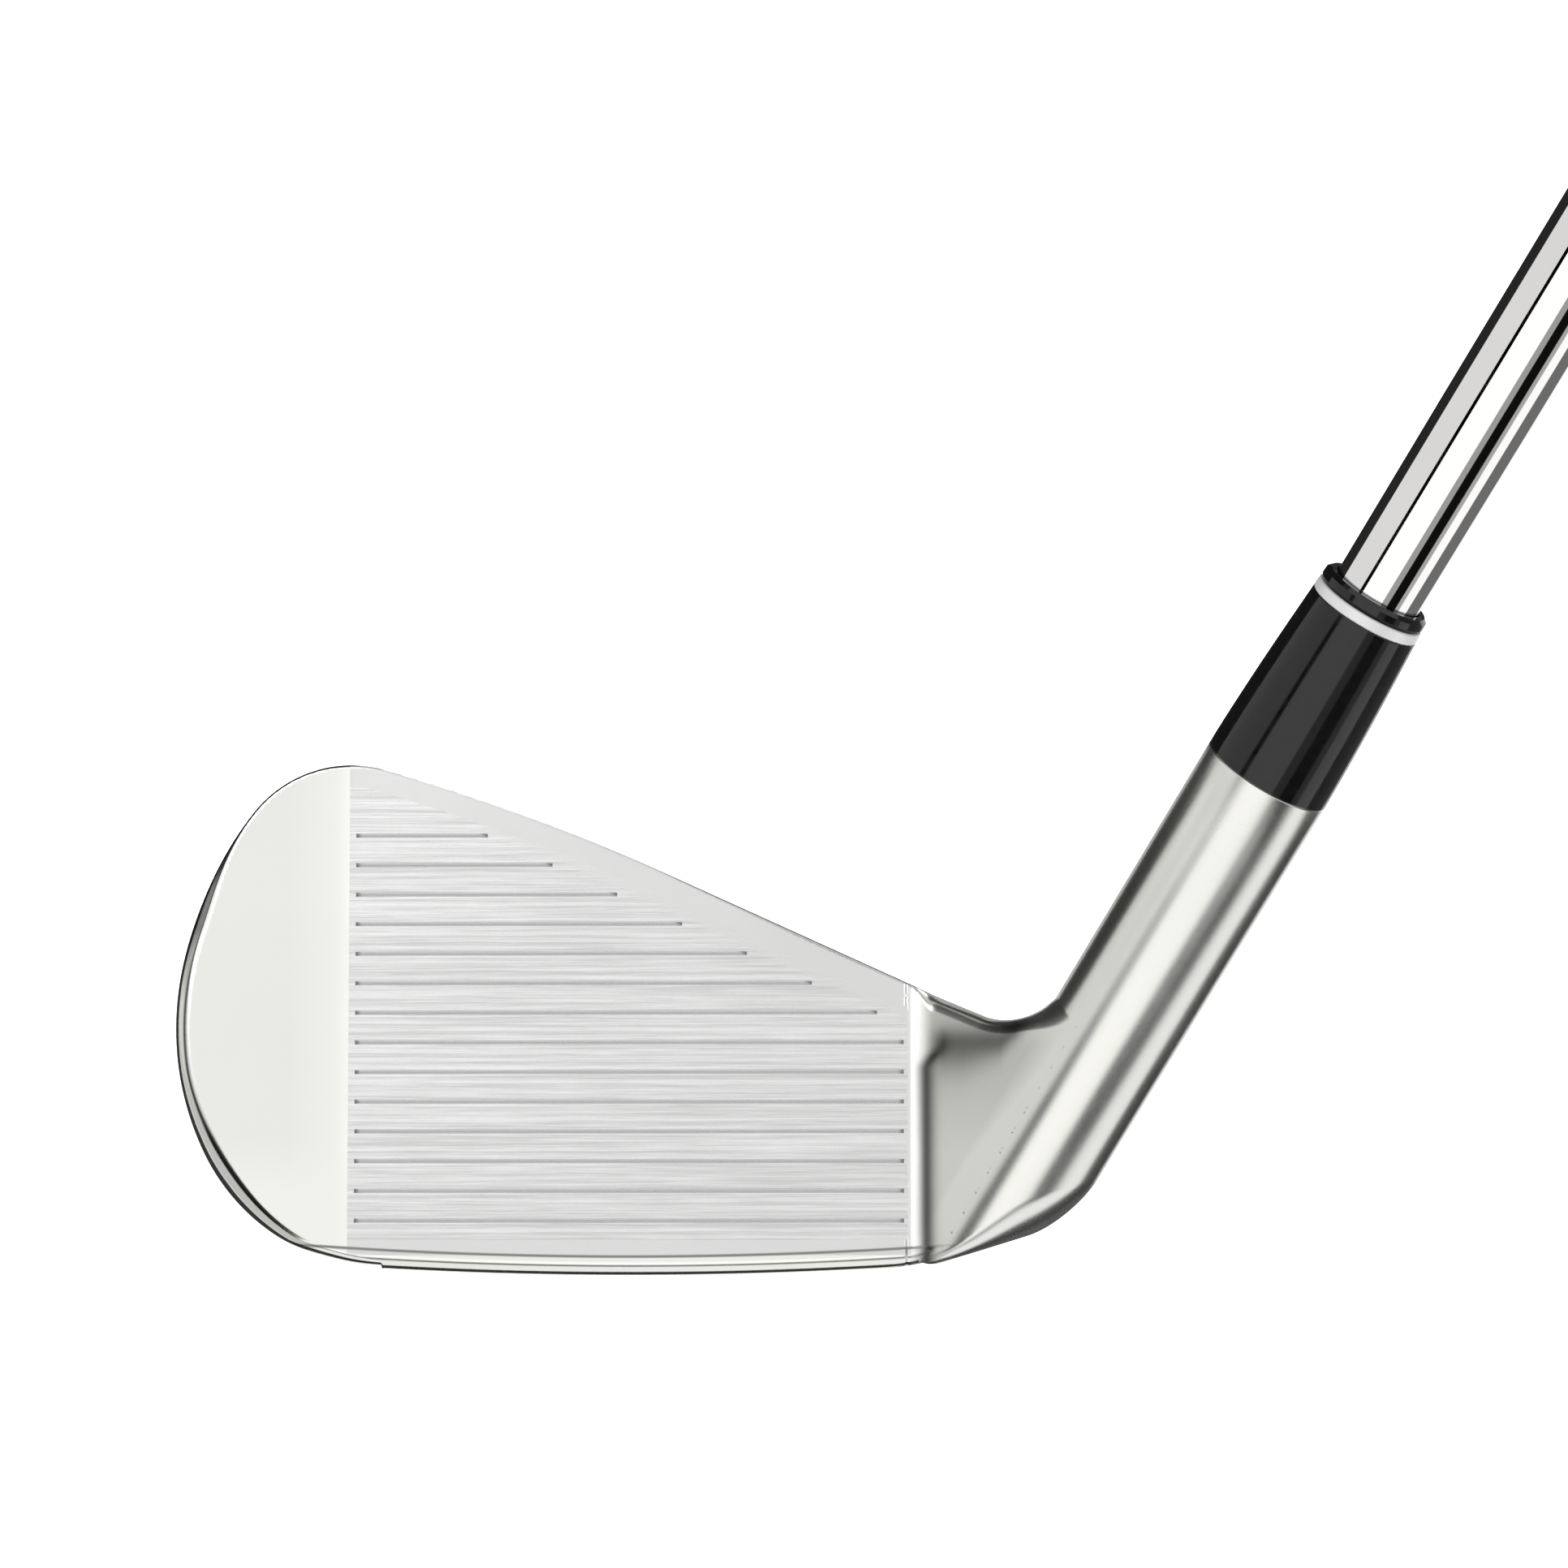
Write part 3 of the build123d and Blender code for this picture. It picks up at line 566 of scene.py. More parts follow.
# ---------------------------------------------------------------- materials
class Finish:
    """A node material under construction, with short ways to add the nodes it needs."""

    def __init__(self, name, colour, metallic, roughness, **sockets):
        self.material = bpy.data.materials.new(name)
        self.material.use_nodes = True
        self.nodes = self.material.node_tree.nodes
        self.links = self.material.node_tree.links
        self.shader = self.nodes["Principled BSDF"]
        self.shader.inputs["Base Color"].default_value = (*colour, 1)
        self.shader.inputs["Metallic"].default_value = metallic
        self.shader.inputs["Roughness"].default_value = roughness
        for socket, value in sockets.items():
            self.shader.inputs[socket.replace("_", " ")].default_value = value
        self.place = self.nodes.new("ShaderNodeTexCoord").outputs["Object"]

    def put(self, socket, value):
        """Sets or links one input."""
        if isinstance(value, bpy.types.NodeSocket):
            self.links.new(value, socket)
        else:
            socket.default_value = value

    def math(self, operation, *values):
        """One arithmetic step on numbers or sockets."""
        node = self.nodes.new("ShaderNodeMath")
        node.operation = operation
        for socket, value in zip(node.inputs, values):
            self.put(socket, value)
        return node.outputs[0]

    def along(self, direction, origin=(0, 0, 0), scale=1000.0):
        """Distance in millimetres along a direction, measured from a point given in millimetres."""
        shift = self.nodes.new("ShaderNodeVectorMath")
        shift.operation = "SUBTRACT"
        self.put(shift.inputs[0], self.place)
        shift.inputs[1].default_value = Vector(origin) / 1000
        dot = self.nodes.new("ShaderNodeVectorMath")
        dot.operation = "DOT_PRODUCT"
        self.put(dot.inputs[0], shift.outputs[0])
        dot.inputs[1].default_value = Vector(direction) * scale
        return dot.outputs["Value"]

    def face_place(self):
        """The face frame's u, v and w."""
        return [self.along(d, FACE_ORIGIN) for d in ((1, 0, 0), FACE_UP, FACE_NORMAL)]

    def vector(self, x, y, z):
        """Three numbers or sockets as one vector."""
        node = self.nodes.new("ShaderNodeCombineXYZ")
        for socket, value in zip(node.inputs, (x, y, z)):
            self.put(socket, value)
        return node.outputs[0]

    def noise(self, vector, scale=1.0, detail=3.0, roughness=0.5):
        """Soft noise from 0 to 1, at a scale per metre where the vector is a place."""
        node = self.nodes.new("ShaderNodeTexNoise")
        self.put(node.inputs["Vector"], vector)
        node.inputs["Scale"].default_value = scale
        node.inputs["Detail"].default_value = detail
        node.inputs["Roughness"].default_value = roughness
        return node.outputs["Fac"]

    def spread(self, value, low, high, to_low=0.0, to_high=1.0, easing="LINEAR"):
        """Maps one range to another, held at its ends."""
        node = self.nodes.new("ShaderNodeMapRange")
        node.interpolation_type = easing
        for socket, number in zip(node.inputs, (value, low, high, to_low, to_high)):
            self.put(socket, number)
        return node.outputs[0]

    def mix(self, factor, a, b):
        """One colour at factor 0 and another at 1."""
        node = self.nodes.new("ShaderNodeMix")
        node.data_type = "RGBA"
        self.put(node.inputs[0], factor)
        for index, colour in ((6, a), (7, b)):
            self.put(node.inputs[index], (*colour, 1) if isinstance(colour, tuple) else colour)
        return node.outputs[2]

    def bell(self, value, width):
        """1 where value is 0, falling off over width either side."""
        ratio = self.math("DIVIDE", value, width)
        return self.math("EXPONENT", self.math("MULTIPLY", self.math("MULTIPLY", ratio, ratio), -1.0))

    def bump(self, height, depth_mm, strength=1.0):
        """Surface relief: height is 0 to 1, and depth_mm is what 1 stands for."""
        node = self.nodes.new("ShaderNodeBump")
        node.inputs["Strength"].default_value = strength
        node.inputs["Distance"].default_value = depth_mm / 1000
        self.put(node.inputs["Height"], height)
        previous = self.shader.inputs["Normal"].links
        if previous:
            self.links.new(previous[0].from_socket, node.inputs["Normal"])
        self.links.new(node.outputs[0], self.shader.inputs["Normal"])

    def set(self, socket, value):
        """Sets or links one of the shader's own inputs."""
        self.put(self.shader.inputs[socket], value)
        return self


def ramp_painted_shade(m, u, v, w):
    """Painted shade on the satin ramp: dark at its foot and in the hollow under the crotch, lighter at the
    hosel.
    """
    across = m.along(on_face[1] * np.array([1, 0, 0]) - on_face[0] * FACE_UP, AXIS_FOOT)
    bend = m.spread(v, 19, 22, 31.25, 32.9, "SMOOTHSTEP")
    foot = m.bell(m.math("SUBTRACT", u, bend), 0.9)
    foot = m.math("MULTIPLY", foot, m.spread(v, 20.5, 23.5, 0.87, 0.0))
    centre = m.math("MULTIPLY_ADD", m.math("MAXIMUM", m.math("SUBTRACT", u, 38.9), 0.0), 0.72, 21.7)
    above = m.math("SUBTRACT", v, centre)
    below_width = m.spread(u, 35, 40, 3.0, 1.3)
    over = m.math("GREATER_THAN", above, 0.0)
    width = m.math("MULTIPLY_ADD", over, m.math("SUBTRACT", 1.9, below_width), below_width)
    depth = m.math("MULTIPLY", m.spread(u, 31, 33, 0.0, 0.74), m.spread(u, 40.5, 43, 1.0, 0.0))
    hollow = m.math("MULTIPLY", m.bell(above, width), depth)
    plain = m.math("ADD", m.spread(v, 10, 19, 0.92, 0.74), m.spread(across, -6.5, -3.8, 0.0, 0.3))
    plain = m.math("MINIMUM", plain, 1.0)
    here = m.math("MAXIMUM", m.spread(v, 21, 24, 1, 0), m.spread(u, 39, 42, 1, 0))
    plain = m.math("MULTIPLY_ADD", m.math("SUBTRACT", plain, 1.0), here, 1.0)
    tone = m.math("MULTIPLY", plain, m.math("SUBTRACT", 1.0, foot))
    tone = m.math("MULTIPLY", tone, m.math("SUBTRACT", 1.0, hollow))
    on_ramp = m.math("MULTIPLY", m.spread(u, 29.85, 30.1), m.math("GREATER_THAN", w, -3.0))
    return m.math("MULTIPLY_ADD", m.math("SUBTRACT", tone, 1.0), on_ramp, 1.0)


def leading_edge_painted_reflection(m, u, v, w):
    """A painted dark reflection: the fine dark line along the leading edge, fading out at both of its ends.
    """
    camber = m.math("MULTIPLY", m.math("MULTIPLY", u, u), 0.5 * cos(LOFT) / CAMBER_RADIUS)
    edge_v = edge_centre[0] * sin(LOFT) + edge_centre[1] * cos(LOFT)
    from_edge = m.math("ABSOLUTE", m.math("SUBTRACT", m.math("SUBTRACT", v, camber), edge_v - 0.02))
    line = m.math("MULTIPLY", m.spread(from_edge, 0.22, 0.06), m.math("GREATER_THAN", w, -1.2))
    return m.math("MULTIPLY", line, m.spread(m.math("ABSOLUTE", m.math("ADD", u, 1.5)), 36, 31))


def toe_rim_painted_reflection(m, u, v, w):
    """Painted dark reflection on the toe's rim: broadly at the top of the toe, and in a line just past the
    face's edge.
    """
    high_toe = m.math("MULTIPLY", m.spread(u, -14, -22), m.spread(v, 26, 34))
    high_toe = m.math("MULTIPLY", high_toe, m.spread(w, -0.031, -0.06, 0.0, 0.72))
    high_toe = m.math("MULTIPLY", high_toe, m.spread(w, -2.4, -1.6))
    rim_line = m.math("MULTIPLY", m.bell(m.math("ADD", w, 0.14), 0.07), m.spread(u, -30, -36))
    rim_line = m.math("MULTIPLY", rim_line, m.spread(v, 6, 12, 0.0, 0.92))
    return m.math("MAXIMUM", high_toe, rim_line)


def satin_steel():
    """Cast and satin-finished steel: a fine blasted grain, faint drifts of tone, a smoother rim and toe, and
    a milled strip above and below the plate, with painted shade in the ramp's hollow and painted dark
    reflections on the toe's rim and along the leading edge."""
    m = Finish("head_satin_steel", (0.83, 0.825, 0.80), 1.0, 0.24)
    u, v, w = m.face_place()
    grain = m.noise(m.place, 5200, 2)
    drift = m.noise(m.place, 60, 3)
    bare = m.mix(m.spread(drift, 0.35, 0.65), (0.80, 0.81, 0.775), (0.83, 0.84, 0.805))
    toe_flat = m.math("MULTIPLY", m.spread(u, -29.4, -29.8), m.spread(w, -0.06, -0.04))
    bare = m.mix(toe_flat, bare, (0.86, 0.865, 0.83))
    # painted shade: the ramp's foot and the hollow under the crotch are darkened in the colour
    bare = m.mix(ramp_painted_shade(m, u, v, w), BLACK, bare)
    # painted dark reflection on the toe's rim
    bare = m.mix(toe_rim_painted_reflection(m, u, v, w), bare, BLACK)
    on_front = m.math("GREATER_THAN", w, -0.25)
    in_line = m.math("LESS_THAN", m.math("ABSOLUTE", u), PLATE_HALF_LENGTH)
    milled = m.math("MULTIPLY", m.math("MULTIPLY", on_front, in_line), m.math("GREATER_THAN", v, -0.4))
    toned = m.mix(milled, bare, (0.67, 0.67, 0.665))
    # painted dark reflection along the leading edge
    m.set("Base Color", m.mix(leading_edge_painted_reflection(m, u, v, w), toned, (0.22, 0.22, 0.215)))
    satin = m.math("ADD", m.math("MULTIPLY", grain, 0.07), m.spread(drift, 0.3, 0.7, 0.19, 0.23))
    rim = m.math("MULTIPLY", m.spread(w, -0.06, -0.16), m.math("LESS_THAN", u, PLATE_HALF_LENGTH))
    rim = m.math("MULTIPLY", rim, m.math("GREATER_THAN", w, -3.0))
    smoother = m.math("MAXIMUM", m.math("MULTIPLY", rim, 0.45), m.spread(u, -29, -31, 0.0, 0.4))
    m.set("Roughness", m.math("MULTIPLY", satin, m.math("SUBTRACT", 1.0, smoother)))
    m.bump(grain, 0.002, 0.4)
    return m.material


def milled_steel():
    """The face plate: fine cutter streaks along it that stop raggedly below the top line, and score lines
    with painted shade in them, darkest at their ends.
    """
    m = Finish("milled_face_steel", (0.70, 0.70, 0.695), 1.0, 0.3)
    u, v, w = m.face_place()
    fine = m.noise(m.vector(m.math("MULTIPLY", u, 0.10), m.math("MULTIPLY", v, 6.0), 0.0), 1.0, 4, 0.65)
    broad = m.noise(m.vector(m.math("MULTIPLY", u, 0.02), m.math("MULTIPLY", v, 2.0), 4.0), 1.0, 3)
    ragged = m.noise(m.vector(0.0, m.math("MULTIPLY", v, 5.0), 9.0), 1.0, 2)
    below = m.math("MULTIPLY_ADD", u, -sin(TOP_LINE_SLOPE), TOP_LINE_V * cos(TOP_LINE_SLOPE))
    below = m.math("SUBTRACT", below, m.math("MULTIPLY", v, cos(TOP_LINE_SLOPE)))
    milled = m.spread(m.math("SUBTRACT", below, m.math("MULTIPLY", ragged, 2.4)), 2.1, 2.6)
    wobble = m.math("MULTIPLY_ADD", broad, 5.0, m.math("MULTIPLY", v, 2 * pi / 0.78))
    passes = m.math("MULTIPLY", m.math("SINE", wobble), 0.035)
    streak = m.math("ADD", m.math("MULTIPLY", fine, 0.6), m.math("MULTIPLY", broad, 0.4))
    streak = m.math("ADD", streak, passes)
    cut = m.mix(m.spread(streak, 0.4, 0.6), (0.575, 0.575, 0.572), (0.735, 0.735, 0.732))
    flat = m.mix(milled, (0.66, 0.66, 0.655), cut)
    run = 1 / tan(TOP_LINE_SLOPE)
    line_end = m.math("MULTIPLY_ADD", v, -run, TOP_LINE_V * run - LINE_TOP_GAP)
    line_end = m.math("MINIMUM", line_end, LINE_HALF_LENGTH)
    from_end = m.math("ABSOLUTE", m.math("SUBTRACT", u, line_end))
    from_end = m.math("MINIMUM", from_end, m.math("ABSOLUTE", m.math("ADD", u, LINE_HALF_LENGTH)))
    # painted shade inside the score lines, darkest at their ends
    groove_painted_shade = m.mix(m.spread(from_end, 0.15, 0.6), (0.24, 0.24, 0.24), (0.50, 0.50, 0.50))
    m.set("Base Color", m.mix(m.spread(w, -0.05, -0.015), groove_painted_shade, flat))
    m.set("Metallic", m.spread(w, -0.05, -0.015, 0.25, 1.0))
    m.set("Roughness", m.spread(streak, 0.3, 0.7, 0.22, 0.30))
    m.bump(m.math("MULTIPLY", fine, milled), 0.003, 0.5)
    return m.material


def turned_metal(name, colour, roughness, pitch, metallic=1.0):
    """Metal with fine rings from turning, spaced by pitch along the shaft's axis."""
    m = Finish(name, colour, metallic, roughness)
    s = m.along(AXIS, AXIS_FOOT)
    rings = m.noise(m.vector(0.0, 0.0, m.math("DIVIDE", s, pitch)), 1.0, 3)
    m.set("Roughness", m.spread(rings, 0.3, 0.7, roughness * 0.8, roughness * 1.25))
    m.bump(rings, 0.004, 0.5)
    return m.material


def chrome():
    """Plated shaft: mirror bright, with faint polishing drift along its length."""
    m = Finish("shaft_chrome", (0.93, 0.93, 0.94), 1.0, 0.05)
    s = m.along(AXIS, AXIS_FOOT)
    polish = m.noise(m.place, 240, 3)
    m.set("Roughness", m.spread(polish, 0.35, 0.7, 0.035, 0.07))
    cloud = m.noise(m.vector(0.0, 0.0, m.math("MULTIPLY", s, 0.05)), 1.0, 2)
    m.set("Base Color", m.mix(m.spread(cloud, 0.3, 0.7), (0.90, 0.90, 0.91), (0.95, 0.95, 0.955)))
    return m.material


def black_gloss():
    """Turned and polished black plastic of the ferrule."""
    m = Finish("ferrule_black_gloss", (0.004, 0.004, 0.005), 0.0, 0.1)
    s = m.along(AXIS, AXIS_FOOT)
    rings = m.noise(m.vector(0.0, 0.0, m.math("MULTIPLY", s, 6.0)), 1.0, 2)
    haze = m.noise(m.place, 900, 3)
    m.set("Roughness", m.spread(haze, 0.3, 0.75, 0.08, 0.16))
    m.set("Base Color", m.mix(haze, (0.002, 0.002, 0.0025), (0.005, 0.005, 0.0055)))
    m.bump(rings, 0.003, 0.3)
    return m.material


def slug_metal():
    """The dark dense slug in the toe, faced off in a lathe: rings about its own middle."""
    m = Finish("tungsten_slug", (0.36, 0.355, 0.35), 1.0, 0.3)
    across = [m.along(d, WEIGHT_AT) for d in ((1, 0, 0), np.cross(WEIGHT_OUT, (1, 0, 0)))]
    far = m.math("SQRT", m.math("ADD", m.math("POWER", across[0], 2.0), m.math("POWER", across[1], 2.0)))
    rings = m.math("SINE", m.math("MULTIPLY", far, 24.0))
    speck = m.noise(m.place, 3000, 2)
    m.set("Roughness", m.spread(speck, 0.3, 0.7, 0.25, 0.38))
    m.set("Base Color", m.mix(speck, (0.30, 0.297, 0.29), (0.42, 0.415, 0.41)))
    m.bump(rings, 0.006, 0.5)
    return m.material


def brushed_badge():
    """The badge's dark nickel, brushed along its length."""
    m = Finish("badge_brushed_nickel", (0.30, 0.30, 0.31), 1.0, 0.32)
    u, v, w = m.face_place()
    brush = m.noise(m.vector(m.math("MULTIPLY", u, 0.15), m.math("MULTIPLY", v, 14.0), w), 1.0, 4)
    m.set("Base Color", m.mix(m.spread(brush, 0.3, 0.7), (0.24, 0.24, 0.25), (0.38, 0.38, 0.39)))
    m.set("Roughness", m.spread(brush, 0.3, 0.7, 0.26, 0.4))
    m.bump(brush, 0.008, 0.6)
    return m.material


def woven_inlay():
    """The inlay's black moulded polymer with a fine twill."""
    m = Finish("inlay_black_twill", (0.03, 0.03, 0.033), 0.0, 0.35, Coat_Weight=0.2, Coat_Roughness=0.12)
    u, v, w = m.face_place()
    one = m.math("SINE", m.math("MULTIPLY", m.math("ADD", u, v), 4.4))
    two = m.math("SINE", m.math("MULTIPLY", m.math("SUBTRACT", u, v), 4.4))
    weave = m.spread(m.math("MULTIPLY", one, two), -0.6, 0.6, easing="SMOOTHSTEP")
    speck = m.noise(m.place, 2600, 2)
    m.set("Base Color", m.mix(weave, (0.016, 0.016, 0.018), (0.052, 0.052, 0.056)))
    m.set("Roughness", m.spread(speck, 0.3, 0.7, 0.28, 0.44))
    m.bump(weave, 0.03, 0.6)
    return m.material


def moulded(name, colour, roughness, grain_scale=1800.0):
    """Moulded rubber, foam, paper or resin with a fine even grain."""
    m = Finish(name, colour, 0.0, roughness)
    grain = m.noise(m.place, grain_scale, 3)
    cloud = m.noise(m.place, 90, 3)
    dark = tuple(c * 0.75 for c in colour)
    light = tuple(min(1, c * 1.3) for c in colour)
    m.set("Base Color", m.mix(m.spread(cloud, 0.35, 0.65), dark, light))
    m.set("Roughness", m.spread(grain, 0.3, 0.7, roughness - 0.06, roughness + 0.06))
    m.bump(grain, 0.02, 0.5)
    return m.material


def foil_band():
    """The plain foil band: brushed grey with a dark line near each end."""
    m = Finish("label_foil", (0.5, 0.5, 0.52), 1.0, 0.25)
    s = m.along(AXIS, AXIS_FOOT)
    middle = m.math("ABSOLUTE", m.math("SUBTRACT", s, LABEL_START + LABEL_LENGTH / 2))
    from_line = m.math("ABSOLUTE", m.math("SUBTRACT", middle, LABEL_LENGTH / 2 - 3))
    line = m.math("LESS_THAN", from_line, 0.8)
    brush = m.noise(m.vector(m.place, m.math("MULTIPLY", s, 9.0), 0.0), 1.0, 3)
    tone = m.mix(m.spread(brush, 0.3, 0.7), (0.30, 0.31, 0.33), (0.46, 0.47, 0.49))
    m.set("Base Color", m.mix(line, tone, (0.03, 0.03, 0.035)))
    m.set("Roughness", m.spread(brush, 0.3, 0.7, 0.2, 0.3))
    m.bump(brush, 0.003, 0.4)
    return m.material


node_finishes = {
    "face_plate": milled_steel(),
    "toe_weight": slug_metal(),
    "badge_damper": moulded("damper_rubber", (0.03, 0.03, 0.03), 0.6),
    "badge_tape": moulded("adhesive_foam", (0.05, 0.05, 0.055), 0.8),
    "badge_plate": brushed_badge(),
    "badge_inlay": woven_inlay(),
    "tip_weight": turned_metal("tip_brass", (0.72, 0.53, 0.25), 0.3, 0.3),
    "hosel_bond": moulded("epoxy_resin", (0.45, 0.36, 0.18), 0.35),
    "grip_tape": moulded("tape_paper", (0.62, 0.58, 0.5), 0.75),
}
for node, finish in node_finishes.items():
    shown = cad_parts[node].data
    shown.materials.clear()
    shown.materials.append(finish)


# ---------------------------------------------------------------- the pieces
def build_head():
    """The casting as one mesh, and the plain top of its hosel."""
    steel = satin_steel()
    cell = FINE_CELL
    points, normals, quads = surface_net(head_distance, HEAD_LOW, HEAD_HIGH, cell)
    head = make_piece("head", points, quads, normals, steel)
    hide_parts("head_body")
    outside = [(HOSEL_RADIUS, HOSEL_SPLIT), (HOSEL_RADIUS, HOSEL_TOP - 0.3), (HOSEL_RADIUS, HOSEL_TOP - 0.12)]
    outside.append((HOSEL_RADIUS - 0.12, HOSEL_TOP))
    upper = turned_piece("hosel_upper", with_bore(outside, TUBE_BORE), steel)


def band(name, node, s0, s1, material, radius_at, bore, edge=0.1, rows=10):
    """A turned band with its two outer edges eased."""
    middle = [s0 + edge + (s1 - s0 - 2 * edge) * i / rows for i in range(rows + 1)]
    outside = [(radius_at(s0) - edge, s0), *[(radius_at(s), s) for s in middle], (radius_at(s1) - edge, s1)]
    piece = turned_piece(name, with_bore(outside, bore), material)
    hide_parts(node)


def build_ferrule():
    """The black sleeve, the silver ring and the black collar."""
    gloss = black_gloss()
    silver = turned_metal("ferrule_silver", (0.52, 0.52, 0.52), 0.38, 0.12, 0.3)
    ring = HOSEL_TOP + FERRULE_SLEEVE
    collar = ring + FERRULE_RING
    bands = (
        ("ferrule_sleeve", "ferrule_black", HOSEL_TOP, ring, gloss, 0.1, 24),
        ("ferrule_ring", "ferrule_silver", ring, collar, silver, 0.12, 10),
        ("ferrule_collar", "ferrule_black", collar, FERRULE_TOP, gloss, 0.4, 10),
    )
    for node, slot, s0, s1, material, edge, rows in bands:
        band(node + "_turned", node, s0, s1, material, ferrule_radius, TUBE_BORE, edge, rows)


def build_shaft():
    """The stepped tube, with close rows beside each step that keep it crisp."""
    heights = [SHAFT_TIP, SHAFT_TIP + 20, SHAFT_TIP + TAPER_LENGTH]
    for step in STEPS:
        top = step + STEP_RAMP
        heights += [step - 1.5, step, step + 0.1, top - 0.1, top, top + 1.5]
    heights.append(SHAFT_BUTT)
    outside = [(outer_radius(s), s) for s in heights]
    inside = [(radius - TUBE_WALL, s) for radius, s in outside[::-1]]
    tube = turned_piece("shaft_tube", outside + inside, chrome(), 160)
    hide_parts("shaft")


def label_radius(s):
    """Outside of the foil band at s."""
    return outer_radius(s) + LABEL_THICK


def build_label():
    """The plain foil band below the grip."""
    end = LABEL_START + LABEL_LENGTH
    foil = foil_band()
    band("shaft_band", "shaft_label", LABEL_START, end, foil, label_radius, LABEL_BORE, 0.03)


def grip_relief(angle, s, radius):
    """Depth of the grip's moulded pattern: bands of fine staggered ribs between plain rings, and two long
    plain strips, one in front and one behind."""
    low = smooth(s, GRIP_MOUTH + 9, GRIP_MOUTH + 11)
    zone = low * (1 - smooth(s, CLUB_LENGTH - 19, CLUB_LENGTH - 17))
    block = (s - GRIP_MOUTH - 10) / GRIP_BAND_PITCH
    gap = smooth(np.abs(block - np.round(block)), 0.03, 0.055)
    along = (s - GRIP_MOUTH) / GRIP_RIB_PITCH
    rib = 1 - smooth(np.abs(along % 1 - 0.5), 0.26, 0.40)
    turn = angle / (2 * pi) * GRIP_RIBS_ROUND + 0.5 * (np.floor(along) % 2)
    dash = 1 - smooth(np.abs(turn % 1 - 0.5), 0.34, 0.43)
    behind = smooth(np.abs(np.angle(np.exp(1j * (angle - pi / 2)))), 0.16, 0.22)
    front = smooth(np.abs(np.angle(np.exp(1j * (angle + pi / 2)))), 0.16, 0.22)
    sunk = zone * gap * behind * front * (1 - rib * dash)
    return np.where(radius > GRIP_BORE_MOST, -GRIP_PATTERN_DEPTH * sunk, 0.0)


def build_grip():
    """The moulded sleeve with its rounded lip."""
    rubber = moulded("grip_rubber", (0.014, 0.014, 0.0145), 0.62, 1500)
    end = CLUB_LENGTH - CAP_SKIRT
    rows = 900
    outside = []
    for turn in np.linspace(0, pi / 2, 6)[:-1]:
        radius = grip_radius(GRIP_MOUTH) - GRIP_LIP * (1 - sin(turn))
        outside.append((radius, GRIP_MOUTH + GRIP_LIP * (1 - cos(turn))))
    outside += [(grip_radius(s), s) for s in np.linspace(GRIP_MOUTH + GRIP_LIP, end, rows)]
    bore = [(outer_radius(s) + GRIP_TAPE, s) for s in (end, 850, 775, GRIP_MOUTH)]
    grip = turned_piece("grip_moulded", outside + bore, rubber, 360, grip_relief, 60)
    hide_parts("grip_sleeve")


def build_cap():
    """The grip's end: an eased edge, a fine sunk ring on the flat and the vent hole."""
    end = CLUB_LENGTH - CAP_SKIRT
    flat = CAP_RADIUS - CAP_EDGE
    dome = [(grip_radius(end), end), (CAP_RADIUS - 0.25, end + 0.3), (CAP_RADIUS, end + 1.0)]
    dome += [(CAP_RADIUS, CLUB_LENGTH - 3.2)]
    for turn in np.linspace(0.15, pi / 2, 8):
        dome.append((flat + CAP_EDGE * cos(turn), CLUB_LENGTH - 3.0 + CAP_EDGE * sin(turn)))
    for radius, sunk in ((8.4, 0.08), (8.2, 0.5), (7.6, 0.5), (7.4, 0.04)):
        dome.append((radius, CLUB_LENGTH - sunk))
    dome += [(VENT_RADIUS + 0.5, CLUB_LENGTH), (VENT_RADIUS, CLUB_LENGTH - 0.5), (VENT_RADIUS, SHAFT_BUTT)]
    dome += [(BUTT_RADIUS + GRIP_TAPE, SHAFT_BUTT), (BUTT_RADIUS + GRIP_TAPE, end)]
    rubber = moulded("cap_rubber", (0.018, 0.018, 0.019), 0.5, 1200)
    cap = turned_piece("grip_end_cap", dome, rubber, 128)
    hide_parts("grip_cap")


build_head()
build_ferrule()
build_shaft()
build_label()
build_grip()
build_cap()


# ---------------------------------------------------------------- studio
def glowing(name, colour, strength):
    """A plain glowing material for what isn't part of the club."""
    m = Finish(name, colour, 0.0, 0.9)
    m.set("Emission Color", (*colour, 1)).set("Emission Strength", strength)
    return m


def stage_mesh(name, points, faces, material):
    """A mesh of the studio's, from points in millimetres."""
    mesh = bpy.data.meshes.new(name)
    mesh.from_pydata([tuple(np.asarray(p) / 1000) for p in points], [], faces)
    mesh.materials.append(material)
    piece = bpy.data.objects.new(name, mesh)
    bpy.context.scene.collection.objects.link(piece)
    return piece


def build_floor():
    """A plain white floor, which the club's metal doesn't mirror, under an even white sky."""
    half = FLOOR_SIZE / 2
    corners = [(200 + x * half, y * half, -0.02) for x, y in ((-1, -1), (1, -1), (1, 1), (-1, 1))]
    white = glowing("floor_white", (0.95, 0.95, 0.95), 0.9)
    floor = stage_mesh("floor", corners, [(0, 1, 2, 3)], white.material)
    floor.visible_glossy = False
    world = bpy.data.worlds.new("studio")
    bpy.context.scene.world = world
    world.use_nodes = True
    world.node_tree.nodes["Background"].inputs["Color"].default_value = (1, 1, 1, 1)
    world.node_tree.nodes["Background"].inputs["Strength"].default_value = 1.0


def glossy_only(name, points, faces, tone):
    """A card that only shows in reflections, its points in millimetres."""
    m = glowing(name + "_tone", BLACK, 1.0)
    m.set("Emission Color", (*(tone * t for t in WARM), 1))
    m.set("Specular IOR Level", 0.0)
    piece = stage_mesh(name, points, faces, m.material)
    piece.visible_camera = False
    piece.visible_diffuse = False
    piece.visible_shadow = False
    piece.visible_transmission = False


